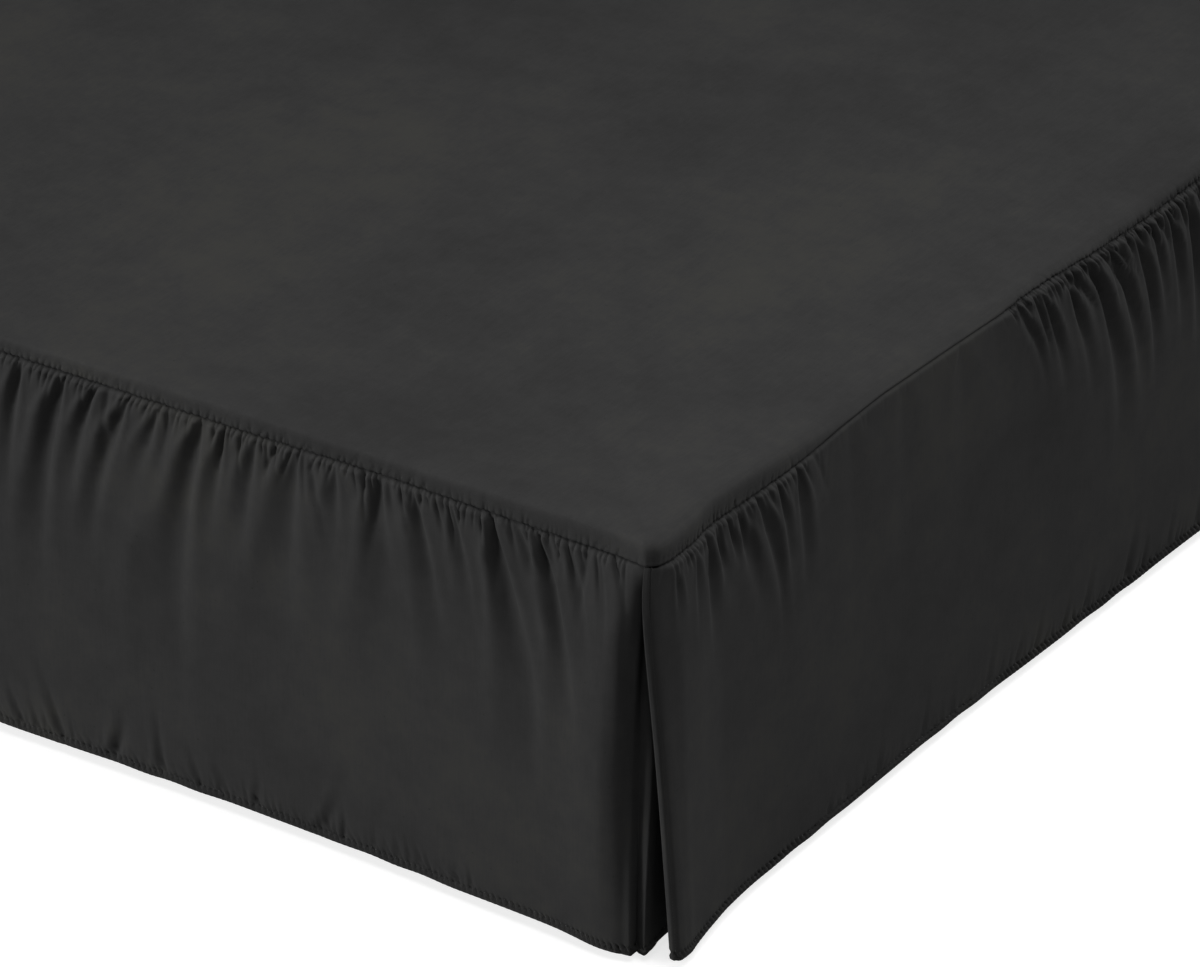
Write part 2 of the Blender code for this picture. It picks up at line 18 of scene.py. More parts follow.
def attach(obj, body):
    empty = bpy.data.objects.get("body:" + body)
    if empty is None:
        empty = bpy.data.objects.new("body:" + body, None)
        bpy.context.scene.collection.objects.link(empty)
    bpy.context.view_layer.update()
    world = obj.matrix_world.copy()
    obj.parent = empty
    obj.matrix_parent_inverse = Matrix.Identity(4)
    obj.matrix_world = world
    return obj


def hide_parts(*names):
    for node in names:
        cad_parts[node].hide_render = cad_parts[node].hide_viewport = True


bl_info = {
    "name": "Gathered bed skirt",
    "version": (1, 0, 0),
    "blender": (4, 5, 0),
    "location": "3D View > Sidebar > Bed Skirt",
    "description": "Builds a gathered bed skirt on a bed base, with its cloth, stitching and studio",
    "category": "Object",
}

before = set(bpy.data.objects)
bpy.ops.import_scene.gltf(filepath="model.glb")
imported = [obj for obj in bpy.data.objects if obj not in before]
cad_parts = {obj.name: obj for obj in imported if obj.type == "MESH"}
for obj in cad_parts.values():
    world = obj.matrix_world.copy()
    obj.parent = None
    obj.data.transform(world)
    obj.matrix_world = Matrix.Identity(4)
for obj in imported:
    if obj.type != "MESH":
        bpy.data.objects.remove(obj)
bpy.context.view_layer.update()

# The base and the seam line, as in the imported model. A drop's tables start where two seam planes meet.
BASE_WIDTH = 1.524
BASE_LENGTH = 2.032
SEAM_GAP = 0.0004
SEAM_OUT = 0.00475
SEAM_HEIGHT = 0.4145
DROP = 0.4035
DECK_TOP = 0.4245
DECK_MIDDLE = DECK_TOP - 0.00075
CORNER_X = BASE_WIDTH / 2 + SEAM_OUT
BED_Y = 0.010
CORNER_Y = BED_Y - BASE_LENGTH / 2 - SEAM_OUT
SIDE_LENGTH = BASE_LENGTH + SEAM_OUT
FOOT_LENGTH = 2 * CORNER_X
SIDE_END = SIDE_LENGTH + 0.017
UNDERLAP = 0.125
HEAD_Y = CORNER_Y + SIDE_LENGTH

# How a side drop hangs in plan. Columns: cut (place along the cloth), then along the bed and out from the
# seam plane at the seam, the same two at the hem, and how far the section is drawn towards the foot just
# below the seam.
SIDE_SECTIONS = (
    (0.000, -0.0060, -0.0010, 0.0010, 0.0246, 0.008),
    (0.006, -0.0040, 0.0032, -0.0007, 0.0301, 0.007),
    (0.012, -0.0010, 0.0070, 0.0031, 0.0344, 0.006),
    (0.019, 0.0040, 0.0095, 0.0090, 0.0347, 0.004),
    (0.027, 0.0115, 0.0108, 0.0145, 0.0339, 0.002),
    (0.037, 0.0210, 0.0114, 0.0200, 0.0324, 0.001),
    (0.050, 0.0340, 0.0105, 0.0290, 0.0294, 0.000),
    (0.075, 0.0590, 0.0080, 0.0505, 0.0249, 0.000),
    (0.100, 0.0835, 0.0030, 0.075, 0.0205, 0.000),
    (0.130, 0.1130, 0.0000, 0.105, 0.0155, 0.000),
    (0.195, 0.1780, 0.0000, 0.170, 0.0100, 0.000),
    (0.280, 0.2630, 0.0000, 0.257, 0.0075, 0.000),
    (0.410, 0.3930, 0.0000, 0.390, 0.0035, 0.000),
    (0.560, 0.5430, 0.0000, 0.543, 0.0000, 0.000),
    (0.640, 0.6230, 0.0005, 0.623, 0.0000, 0.000),
    (0.760, 0.7430, 0.0035, 0.743, 0.0000, 0.000),
    (0.940, 0.9230, 0.0022, 0.923, 0.0000, 0.000),
    (1.200, 1.1830, 0.0000, 1.183, 0.0000, 0.000),
    (SIDE_END, SIDE_LENGTH, 0.0000, SIDE_LENGTH, 0.0000, 0.000),
)

# How half of the foot drop hangs, from the end of its underlap to the middle of the foot. Same columns.
FOOT_SECTIONS = (
    (-0.125, 0.0018, -0.1130, 0.0018, -0.0980, 0.000),
    (-0.100, 0.0012, -0.0880, 0.0026, -0.0730, 0.000),
    (-0.068, -0.0055, -0.0560, 0.0045, -0.0410, 0.000),
    (-0.052, -0.0080, -0.0400, 0.0035, -0.0225, 0.000),
    (-0.038, -0.0083, -0.0260, 0.0008, -0.0075, 0.000),
    (-0.026, -0.0083, -0.0140, 0.0005, 0.0045, 0.000),
    (-0.018, -0.0070, -0.0060, 0.0055, 0.0035, 0.000),
    (-0.010, -0.0035, 0.0010, 0.0120, 0.0005, 0.000),
    (0.000, 0.0020, 0.0038, 0.0115, 0.0118, 0.000),
    (0.009, 0.0090, 0.0045, 0.0190, 0.0130, 0.000),
    (0.016, 0.0160, 0.0035, 0.0250, 0.0136, 0.000),
    (0.025, 0.0250, 0.0020, 0.0330, 0.0140, 0.000),
    (0.036, 0.0360, 0.0008, 0.0425, 0.0140, 0.000),
    (0.053, 0.0530, 0.0000, 0.0565, 0.0138, 0.000),
    (0.100, 0.1000, 0.0000, 0.1000, 0.0120, 0.000),
    (0.165, 0.1650, 0.0000, 0.1650, 0.0095, 0.000),
    (0.279, 0.2790, 0.0000, 0.2790, 0.0040, 0.000),
    (0.395, 0.3950, 0.0000, 0.3950, 0.0005, 0.000),
    (0.512, 0.5120, 0.0000, 0.5120, 0.0000, 0.000),
    (0.632, 0.6320, 0.0000, 0.6320, 0.0010, 0.000),
    (0.753, 0.7530, 0.0000, 0.7530, 0.0025, 0.000),
)

# Main folds below the seam, a row for each valley. Columns: cut, lean (sideways for each metre down), reach
# (how far down it runs), depth and half width.
SIDE_FOLDS = (
    (0.036, 0.05, 0.06, 0.003, 0.006),
    (0.071, 0.05, 0.08, 0.003, 0.007),
    (0.098, 0.10, 0.10, 0.006, 0.009),
    (0.119, 0.12, 0.05, 0.003, 0.005),
    (0.139, 0.22, 0.05, 0.003, 0.006),
    (0.155, 0.28, 0.10, 0.005, 0.009),
    (0.187, 0.36, 0.12, 0.006, 0.010),
    (0.218, 0.40, 0.08, 0.004, 0.009),
    (0.253, 0.20, 0.11, 0.005, 0.010),
    (0.341, 0.10, 0.20, 0.001, 0.020),
    (0.430, 0.10, 0.20, 0.001, 0.022),
    (0.532, 0.10, 0.25, 0.001, 0.020),
    (0.634, 0.38, 0.09, 0.0044, 0.0066),
    (0.667, 0.55, 0.10, 0.0062, 0.0074),
    (0.708, 0.50, 0.12, 0.0062, 0.0074),
    (0.753, 0.52, 0.19, 0.0088, 0.0098),
    (0.792, 0.53, 0.15, 0.0079, 0.0090),
    (0.832, 0.54, 0.14, 0.0079, 0.0090),
    (0.863, 0.52, 0.09, 0.0053, 0.0074),
    (0.897, 0.42, 0.12, 0.0070, 0.0082),
    (0.932, 0.36, 0.15, 0.0079, 0.0090),
    (0.975, 0.30, 0.11, 0.0062, 0.0090),
    (1.014, 0.24, 0.17, 0.0088, 0.0107),
    (1.055, 0.18, 0.10, 0.0053, 0.0090),
    (1.091, 0.10, 0.14, 0.0079, 0.0098),
    (1.136, 0.04, 0.09, 0.0062, 0.0090),
    (1.172, -0.05, 0.18, 0.0079, 0.0107),
    (1.215, -0.14, 0.11, 0.0062, 0.0090),
    (1.252, -0.22, 0.14, 0.0070, 0.0098),
    (1.299, -0.30, 0.09, 0.0053, 0.0082),
    (1.334, -0.38, 0.15, 0.0079, 0.0098),
    (1.378, -0.45, 0.10, 0.0062, 0.0090),
    (1.417, -0.42, 0.09, 0.0053, 0.0082),
    (1.520, -0.10, 0.24, 0.001, 0.021),
    (1.655, -0.06, 0.20, 0.001, 0.022),
    (1.778, -0.12, 0.12, 0.004, 0.012),
    (1.836, -0.25, 0.10, 0.005, 0.011),
    (1.884, -0.30, 0.13, 0.006, 0.011),
    (1.941, -0.22, 0.09, 0.004, 0.010),
    (1.992, -0.08, 0.12, 0.005, 0.011),
)
FOOT_FOLDS = (
    (0.050, -0.30, 0.07, 0.002, 0.008),
    (0.083, -0.34, 0.09, 0.003, 0.008),
    (0.119, -0.36, 0.15, 0.008, 0.009),
    (0.170, -0.28, 0.20, 0.009, 0.010),
    (0.214, -0.27, 0.09, 0.004, 0.008),
    (0.257, -0.24, 0.13, 0.006, 0.010),
    (0.296, -0.06, 0.18, 0.006, 0.012),
    (0.343, 0.03, 0.08, 0.004, 0.010),
    (0.388, 0.11, 0.17, 0.006, 0.014),
    (0.433, 0.20, 0.10, 0.005, 0.010),
    (0.469, 0.20, 0.09, 0.005, 0.008),
    (0.497, 0.22, 0.26, 0.008, 0.011),
    (0.545, 0.28, 0.08, 0.005, 0.008),
    (0.580, 0.40, 0.14, 0.008, 0.010),
    (0.618, 0.42, 0.10, 0.007, 0.010),
    (0.655, 0.33, 0.18, 0.010, 0.012),
    (0.706, 0.25, 0.12, 0.006, 0.010),
    (0.752, 0.12, 0.12, 0.007, 0.011),
    (0.797, -0.08, 0.20, 0.008, 0.013),
    (0.838, -0.20, 0.09, 0.005, 0.010),
    (0.872, -0.30, 0.15, 0.008, 0.012),
    (0.921, -0.36, 0.11, 0.006, 0.012),
    (0.960, -0.30, 0.08, 0.005, 0.010),
    (1.003, -0.21, 0.24, 0.007, 0.013),
    (1.050, -0.18, 0.10, 0.005, 0.011),
    (1.095, -0.13, 0.15, 0.006, 0.015),
    (1.148, 0.00, 0.12, 0.005, 0.014),
    (1.202, 0.08, 0.18, 0.007, 0.014),
    (1.256, 0.20, 0.10, 0.005, 0.012),
    (1.302, 0.27, 0.14, 0.006, 0.012),
    (1.360, 0.30, 0.20, 0.009, 0.012),
    (1.409, 0.36, 0.15, 0.008, 0.011),
)

# How closely a seam is gathered, from 0 for plain to 1. Columns: cut, fullness.
SIDE_GATHERED = (
    (0.00, 0.5), (0.05, 0.9), (0.20, 0.8), (0.25, 0.5), (0.29, 0.12), (0.61, 0.10), (0.628, 1.3),
    (1.42, 1.3), (1.47, 0.1), (1.74, 0.1), (1.78, 0.8), (2.06, 0.8),
)
FOOT_GATHERED = (
    (-0.13, 0.0), (-0.01, 0.1), (0.02, 0.8), (FOOT_LENGTH - 0.02, 0.8), (FOOT_LENGTH + 0.01, 0.1),
)

# Puckers that rise from the stitched hem. Columns: cut, lean (sideways for each metre up), rise, depth and
# half width.
SIDE_PUCKERS = (
    (0.398, 0.2, 0.045, 0.0011, 0.0040),
    (0.477, 0.3, 0.053, 0.0014, 0.0040),
    (0.529, 0.2, 0.038, 0.0014, 0.0033),
    (0.594, 0.3, 0.060, 0.0016, 0.0040),
    (0.647, 0.4, 0.045, 0.0014, 0.0040),
    (0.683, 0.3, 0.053, 0.0015, 0.0040),
    (0.733, 0.4, 0.045, 0.0016, 0.0040),
    (0.774, 0.3, 0.068, 0.0017, 0.0046),
    (0.852, 0.3, 0.075, 0.0028, 0.0059),
    (0.884, 0.2, 0.045, 0.0017, 0.0040),
    (0.930, 0.3, 0.053, 0.0017, 0.0040),
    (0.986, 0.2, 0.045, 0.0016, 0.0040),
)
FOOT_PUCKERS = (
    (0.206, 0.1, 0.030, 0.0009, 0.0033),
    (0.251, 0.1, 0.033, 0.0010, 0.0033),
    (0.277, 0.1, 0.033, 0.0011, 0.0033),
    (0.305, -0.1, 0.030, 0.0009, 0.0033),
    (0.339, 0.1, 0.045, 0.0014, 0.0040),
    (0.366, -0.5, 0.090, 0.0021, 0.0066),
    (0.443, -0.1, 0.045, 0.0016, 0.0046),
    (0.479, 0.4, 0.051, 0.0016, 0.0046),
    (0.509, 0.4, 0.051, 0.0017, 0.0040),
    (0.554, 0.1, 0.083, 0.0021, 0.0046),
    (0.610, -0.3, 0.063, 0.0034, 0.0066),
    (0.672, 0.4, 0.105, 0.0028, 0.0046),
    (0.700, 0.4, 0.045, 0.0016, 0.0033),
    (0.720, 0.5, 0.060, 0.0023, 0.0040),
    (0.747, 0.4, 0.051, 0.0021, 0.0040),
    (0.790, 0.3, 0.075, 0.0021, 0.0053),
    (0.842, 0.1, 0.045, 0.0016, 0.0040),
    (0.905, -0.3, 0.083, 0.0023, 0.0053),
    (0.968, -0.2, 0.045, 0.0016, 0.0040),
    (1.020, 0.2, 0.060, 0.0018, 0.0046),
    (1.104, -0.4, 0.053, 0.0016, 0.0040),
    (1.190, 0.3, 0.068, 0.0018, 0.0053),
    (1.262, -0.1, 0.036, 0.0011, 0.0033),
)

# The seam rides up and down on the rounded edge of the base. Columns: cut, height.
SIDE_SEAM_WAVE = (
    (0.00, -0.0010), (0.06, -0.0025), (0.12, -0.0049), (0.22, -0.0064), (0.27, -0.0046), (0.33, 0.0010),
    (0.40, 0.0048), (0.50, 0.0035), (0.60, 0.0015), (0.69, 0.0032), (0.78, -0.0008), (0.87, -0.0040),
    (1.00, -0.0020), (1.20, 0.0020), (1.45, -0.0030), (1.75, 0.0030), (2.05, 0.0000),
)
HALF_FOOT_WAVE = (
    (-UNDERLAP, -0.0050), (-0.018, -0.0050), (0.000, -0.0014), (0.050, -0.0034), (0.120, -0.0028),
    (0.280, 0.0000), (0.350, -0.0004), (0.430, -0.0020),
)
FOOT_SEAM_WAVE = (
    *HALF_FOOT_WAVE, *((FOOT_LENGTH - cut, height) for cut, height in reversed(HALF_FOOT_WAVE)),
)

# The deck rolls over the edge of the base. Columns: cut, width of the roll, how high the deck puffs up there,
# and the power of its outline: 1 for an ellipse, less for a boxier edge.
SIDE_ROLL = (
    (0.00, 0.018, 0.013, 0.34), (0.10, 0.016, 0.012, 0.34), (0.18, 0.014, 0.009, 0.40),
    (0.28, 0.014, 0.003, 0.72), (0.36, 0.026, 0.001, 0.85), (0.57, 0.026, 0.000, 0.85),
    (0.64, 0.010, 0.000, 0.80), (2.06, 0.010, 0.000, 0.80),
)
FOOT_ROLL = (
    (0.00, 0.018, 0.013, 0.34), (0.12, 0.014, 0.011, 0.34), (0.30, 0.014, 0.009, 0.34),
    (0.50, 0.013, 0.008, 0.34), (0.62, 0.011, 0.006, 0.40), (0.77, 0.010, 0.003, 0.50),
)

# A soft ridge runs down the foot drop beside each corner. Columns: depth below the seam, cut, height.
CORNER_RIDGE = (
    (0.000, 0.006, 0.0000), (0.011, 0.009, 0.0025), (0.089, 0.030, 0.0060), (0.204, 0.036, 0.0060),
    (DROP, 0.036, 0.0020),
)
RIDGE_SLOW_SIDE = 0.045
RIDGE_STEEP_SIDE = 0.020

# Behind the foot drop's edge at each corner the cloth is drawn into a deep pleat. Columns: cut, then how far
# along and out the pleat moves the cloth at its upper level and at its lower level.
CORNER_PLEAT = (
    (-0.060, 0.0000, 0.0000, 0.0000, 0.0000),
    (-0.038, 0.0040, -0.0040, 0.0007, -0.0045),
    (-0.026, 0.0085, -0.0060, 0.0010, -0.0075),
    (-0.018, 0.0105, -0.0060, 0.0015, -0.0060),
    (-0.010, 0.0060, -0.0030, 0.0030, -0.0066),
    (0.000, 0.0030, -0.0040, 0.0065, -0.0090),
    (0.009, 0.0020, -0.0020, 0.0042, -0.0055),
    (0.016, 0.0012, -0.0010, 0.0030, -0.0030),
    (0.025, 0.0005, 0.0000, 0.0015, -0.0012),
    (0.036, 0.0000, 0.0000, 0.0000, 0.0000),
)
PLEAT_TOP = 0.030
PLEAT_UPPER = 0.100
PLEAT_LOWER = 0.210

# Spacing of the sheets' points. Columns: place, step.
ROW_STEPS = (
    (0.000, 0.0006), (0.003, 0.0010), (0.010, 0.0024), (0.040, 0.0065), (0.100, 0.013), (0.200, 0.021),
    (0.300, 0.021), (0.355, 0.011), (0.382, 0.0045), (0.390, 0.0018), (DROP, 0.0018),
)
SIDE_STEPS = (
    (0.000, 0.0009), (0.020, 0.0011), (0.270, 0.0012), (0.290, 0.0017), (0.600, 0.0017), (0.618, 0.0010),
    (1.000, 0.0010), (1.050, 0.0015), (1.430, 0.0015), (1.450, 0.0022), (1.740, 0.0022), (1.760, 0.0017),
    (2.030, 0.0017), (2.042, 0.0010), (2.060, 0.0010),
)
FOOT_STEPS = (
    (-0.125, 0.0010), (-0.113, 0.0010), (-0.105, 0.004), (-0.060, 0.003), (-0.045, 0.0012),
    (0.020, 0.0011), (0.750, 0.0011), (0.800, 0.0013), (1.500, 0.0013), (1.578, 0.0012), (1.593, 0.003),
    (1.640, 0.004), (1.648, 0.0010), (1.660, 0.0010),
)
FINE_DEPTH = 0.045  # every second column of points ends at this depth below the seam
SPACING_SAMPLES = 20001

# How the drops hang.
SIDE_OPENING = 1.0  # a side drop flares evenly from seam to hem
FOOT_OPENING = 2.5  # the foot drop flares early and then hangs straight
DRAW_AT = 0.15  # share of the drop at which the draw towards the foot is strongest
LEAN_REACH = 0.20  # folds stop leaning at this depth
LEAN_DEPTH = 0.14
LEAN_CURVE = 1.6
COVERED_CUT = 0.135  # an underlap lies behind the side drop up to here
COVERED_BLEND = 0.03
HEM_DIP = 0.0035  # the foot drop's hem hangs this much lower at each corner
HEM_DIP_REACH = 0.050
HEM_SWAY = 0.0005  # the hem rises and falls by this much
SWAY_RATE = 61
SWAY_WANDER = 2
SWAY_WANDER_RATE = 23
SLOPE_STEP = 0.0008  # a section's direction is taken over this distance each way

# The main folds.
BLEND = 0.024  # gathered and plain lengths of a seam change over this distance
PUFF = 0.0058
PUFF_AT_HEM = 0.002
PUFF_REACH = 0.30
PLAIN_PUFF = 0.25  # share of the puff where the seam isn't gathered
FOLD_RISE = 0.0024
FOLD_DEPTH = 0.90  # share of the folds' depths that is made
NECK_WIDTH = 0.34  # share of a fold's width right at the seam
UPPER_WIDTH = 0.40  # added to it down to UPPER_REACH
LOWER_WIDTH = 0.70  # and added over LOWER_REACH below that
UPPER_REACH = 0.05
LOWER_REACH = 0.15
STEEP_SIDE = 1.5
GENTLE_SIDE = 0.9
QUICK_SHARE = 0.4  # share of a fold's depth that is reached at QUICK_RISE; the rest comes by SLOW_RISE
QUICK_RISE = 0.006
SLOW_RISE = 0.030
FOLD_RIDGES = ((0.45, 2.1, 0.8), (0.15, -2.1, 0.9))  # height, place and width beside a valley, in half widths
FADE_RATE = 0.8
FADE_START = 0.15
FOLD_END = 9  # a fold is nothing this many half widths away
TROUGH_END = 6
MIN_OUT = -0.0018
SOFT_LIMIT = 0.0008
CALM = 0.030  # folds die away over this distance at a drop's ends

# The seam's crease and its small gathers.
CREASE_HALF = 0.0008
PLAIN_CREASE = 0.35
GATHER_RISE = 0.0022
GATHER_MARGIN = 0.012  # a drop's gathers start this far from its end
FOOT_GATHER_MARGIN = 0.010
FOOT_MARGIN = 0.004
GATHER_SPREAD = (0.45, 1.55)  # least and most distance between gathers, in pitches
GATHER_LEAN = 0.22
LEAST_FULLNESS = 0.25
MOST_FULLNESS = 1.2
# Kinds of small gather. Columns: share of them, least and most reach, depth and half width.
GATHER_KINDS = (
    (0.60, 0.010, 0.028, 0.0030, 0.0048, 0.0012, 0.0017),
    (0.26, 0.020, 0.060, 0.0036, 0.0056, 0.0018, 0.0026),
    (0.14, 0.050, 0.130, 0.0030, 0.0054, 0.0034, 0.0056),
)
# Tight gathers where the side's gathering thread starts.
NODE_CUT = 0.630
NODE_PITCH = 0.0036
NODE_SHAKE = 0.0003
NODE_GATHERS = range(-3, 5)
NODE_LEAN = 0.3
NODE_REACH = (0.012, 0.024)
NODE_DEPTH = 0.0036
NODE_HALF = 0.0012

# The hems: their edges, stitch groove, roping and small puckers.
HEM_EDGE = 0.0009
GROOVE_HALF = 0.0011
GROOVE_DEPTH = 0.0015
ROPE_DEPTH = 0.0024
ROPE_PITCH = 0.0068
ROPE_RISE = 0.011  # a rope's ridge climbs this far over one pitch
ROPE_WANDER = 1.7
ROPE_WANDER_RATE = 41
ROPE_CENTRE = 0.75  # shares of the stitch line's height
ROPE_HALF = 0.42
PUCKER_DEPTH = 1.1  # share of the puckers' depths that is made
PUCKER_TAIL = 0.12
PUCKER_RISE = 0.25
PUCKER_RIDGE = 0.5
PUCKER_RIDGE_PLACE = 1.9
FIRST_SIDE_PUCKER = 0.30
FIRST_FOOT_PUCKER = 0.18
LAST_FOOT_PUCKER = FOOT_LENGTH - 0.15
# Small puckers between the tables' own: least and most of each size, and the lean's mean and spread.
PUCKER_SPACING = (0.005, 0.013)
PUCKER_LENGTH = (0.010, 0.034)
PUCKER_DEPTHS = (0.0006, 0.0016)
PUCKER_HALVES = (0.0015, 0.0026)
PUCKER_LEAN = (0.4, 0.25)

# The stitches: spindles of thread.
FIRST_STITCH = 0.006
STITCH_SHARE = 0.36  # half a spindle's length, as a share of the stitch length
STITCH_SIDES = 6
STITCH_RINGS = ((-1.0, 0.0), (-0.6, 0.8), (0.6, 0.8), (1.0, 0.0))  # place and width of its rings
THREAD_RADIUS = 0.0006
STITCH_LIFT = 0.0003
PROBE_STEP = 0.0006  # the cloth's slope under a stitch is taken over this distance each way
THICKNESS_LEVELS = 20  # the cloth thickens into its hems in this many steps

# Added to the seed for the random draws of the deck and of the side drops. The foot drop's start from the
# seed itself.
DECK_SEED = 5
SIDE_SEEDS = {1: 30, -1: 10}

Drop = collections.namedtuple(
    "Drop", "sections folds gathered wave opening ends edges steps gathers puckers rope"
)


def linear(code):
    """An sRGB hex colour as the linear colour that a shader reads."""
    parts = [int(code[k : k + 2], 16) / 255 for k in (1, 3, 5)]
    return [c / 12.92 if c <= 0.04045 else ((c + 0.055) / 1.055) ** 2.4 for c in parts]


def smooth(rows, column, x):
    """Values of a table's column at x, on a curve through its rows that never overshoots them."""
    knots = np.array([row[0] for row in rows], float)
    values = np.array([row[column] for row in rows], float)
    step = np.diff(knots)
    slope = np.diff(values) / step
    before, after = slope[:-1], slope[1:]
    turns = before * after <= 0
    inner = np.where(turns, 0.0, 2 * before * after / np.where(turns, 1.0, before + after))
    tangent = np.concatenate([slope[:1], inner, slope[-1:]])
    x = np.clip(x, knots[0], knots[-1])
    k = np.clip(np.searchsorted(knots, x, side="right") - 1, 0, len(step) - 1)
    t = (x - knots[k]) / step[k]
    bend = 3 * slope[k] - 2 * tangent[k] - tangent[k + 1]
    curl = tangent[k] + tangent[k + 1] - 2 * slope[k]
    return values[k] + step[k] * (tangent[k] * t + bend * t**2 + curl * t**3)


def straight(rows, x):
    """Values of a table's second column at x, on straight lines between its rows."""
    return np.interp(x, [row[0] for row in rows], [row[1] for row in rows])


def ease(x):
    """0 to 1 as x goes from 0 to 1, level at both ends."""
    x = np.clip(x, 0.0, 1.0)
    return x * x * (3 - 2 * x)


def bump(x):
    """1 at x = 0, fading to nothing by about x = 2."""
    return np.exp(-(x**2))


def spaced(start, end, steps):
    """Places from start to end, an odd number of them, as far apart as a table of steps says."""
    fine = np.linspace(start, end, SPACING_SAMPLES)
    density = 1 / straight(steps, fine)
    count = np.concatenate([[0.0], np.cumsum((density[1:] + density[:-1]) / 2 * np.diff(fine))])
    return np.interp(np.linspace(0, count[-1], 2 * int(round(count[-1] / 2)) + 1), count, fine)


def mirrored(sections):
    """The foot drop's sections across the whole foot, from those of one half."""
    far = tuple(
        (FOOT_LENGTH - cut, FOOT_LENGTH - top_along, top_out, FOOT_LENGTH - hem_along, hem_out, -draw)
        for cut, top_along, top_out, hem_along, hem_out, draw in reversed(sections)
    )
    return sections + far


def fine_gathers(gathered, start, end, pitch, rng):
    """Small gathers along a seam, as rows of cut, lean, reach, depth and half width."""
    rows = []
    place = start
    while place < end:
        fullness = straight(gathered, place)
        place += rng.uniform(*GATHER_SPREAD) * pitch / max(fullness, LEAST_FULLNESS)
        kind = GATHER_KINDS[rng.choice(len(GATHER_KINDS), p=[kind[0] for kind in GATHER_KINDS])]
        _, shortest, longest, shallow, deep, narrow, wide = kind
        lean = rng.normal(0.0, GATHER_LEAN)
        reach = rng.uniform(shortest, longest)
        depth = min(fullness, MOST_FULLNESS) * rng.uniform(shallow, deep)
        rows.append((place, lean, reach, depth, rng.uniform(narrow, wide)))
    return np.array(rows)


def node_gathers(rng):
    """The tight little gathers where the gathering thread starts."""
    rows = []
    for k in NODE_GATHERS:
        place = NODE_CUT + k * NODE_PITCH + rng.normal(0, NODE_SHAKE)
        rows.append((place, NODE_LEAN, rng.uniform(*NODE_REACH), NODE_DEPTH, NODE_HALF))
    return np.array(rows)


def fine_puckers(puckers, start, end, rng):
    """A hem's puckers from its table and small slanting ones all along it, as rows like the table's."""
    rows = list(puckers)
    place = start
    while place < end:
        place += rng.uniform(*PUCKER_SPACING)
        lean = rng.normal(*PUCKER_LEAN)
        length = rng.uniform(*PUCKER_LENGTH)
        depth = rng.uniform(*PUCKER_DEPTHS)
        rows.append((place, lean, length, depth, rng.uniform(*PUCKER_HALVES)))
    return np.array(rows)


def troughs(rows, cut, depth, fade, shape):
    """The sum of troughs, one for each row of cut, lean, length, depth and half width.

    fade gives a trough's strength along its length, and shape its section.
    """
    total = np.zeros(np.broadcast(cut, depth).shape)
    for place, lean, length, deep, half in rows:
        near = (np.abs(cut - place) < TROUGH_END * half + abs(lean) * 2 * length).any(axis=0)
        if near.any():
            far = (cut[:, near] - place - lean * depth) / half
            total[:, near] += deep * fade(depth / length) * shape(far)
    return total


def gather_fade(share):
    """A gather's strength at a share of its length."""
    return 1 - ease(share)


def pucker_fade(share):
    """A pucker's strength at a share of its length. It starts a little below the stitching."""
    return ease((share + PUCKER_TAIL) / PUCKER_RISE) * (1 - ease(share))


def pucker_section(far):
    """A pucker's valley with a lower ridge on one side, across its half widths."""
    return bump(far) - PUCKER_RIDGE * bump(far - PUCKER_RIDGE_PLACE)


def fold_relief(drop, cut, depth):
    """How far the folds and gathers stand out from the drop's sections, depth metres below the seam."""
    opened = 1 - np.exp(-((depth / FOLD_RISE) ** 2))
    fullness = sum(smooth(drop.gathered, 1, cut + k * BLEND / 2) for k in range(-2, 3)) / 5
    puff = PUFF * (PLAIN_PUFF + (1 - PLAIN_PUFF) * fullness)
    crest = PUFF_AT_HEM + (puff - PUFF_AT_HEM) * (1 - ease(depth / PUFF_REACH))
    stand = crest * opened + np.zeros(np.broadcast(cut, depth).shape)
    widening = UPPER_WIDTH * ease(depth / UPPER_REACH)
    widening = widening + LOWER_WIDTH * ease((depth - UPPER_REACH) / LOWER_REACH)
    rising = QUICK_SHARE * ease(depth / QUICK_RISE) + (1 - QUICK_SHARE) * ease(depth / SLOW_RISE)
    for place, _, reach, deep, half in drop.folds:
        near = (np.abs(cut - place) < FOLD_END * half).any(axis=0)
        far = (cut[:, near] - place) / (half * (NECK_WIDTH + widening))
        far = far * np.where(far < 0, STEEP_SIDE, GENTLE_SIDE)
        ridge = sum(height * bump((far - middle) / width) for height, middle, width in FOLD_RIDGES)
        fade = rising * (1 - ease(FADE_RATE * depth / reach - FADE_START))
        stand[:, near] += FOLD_DEPTH * deep * fade * (ridge - bump(far))
    start = ease(depth / GATHER_RISE)
    stand = stand - start * troughs(drop.gathers, cut, depth, gather_fade, bump)
    calm = ease((cut - drop.ends[0]) / CALM) * ease((drop.ends[1] - cut) / CALM)
    return (MIN_OUT + SOFT_LIMIT * np.logaddexp(0.0, (stand - MIN_OUT) / SOFT_LIMIT)) * calm


def hem_band(drop, cut, depth, sizes):
    """1 on the turned and stitched edges of a drop, where the cloth is folded over, and 0 elsewhere."""
    low = ease((depth - (DROP - sizes.hem)) / HEM_EDGE)
    first = ease((drop.edges[0] + sizes.hem - cut) / HEM_EDGE)
    last = ease((cut - (drop.edges[1] - sizes.hem)) / HEM_EDGE)
    return 1 - (1 - low) * (1 - first) * (1 - last)


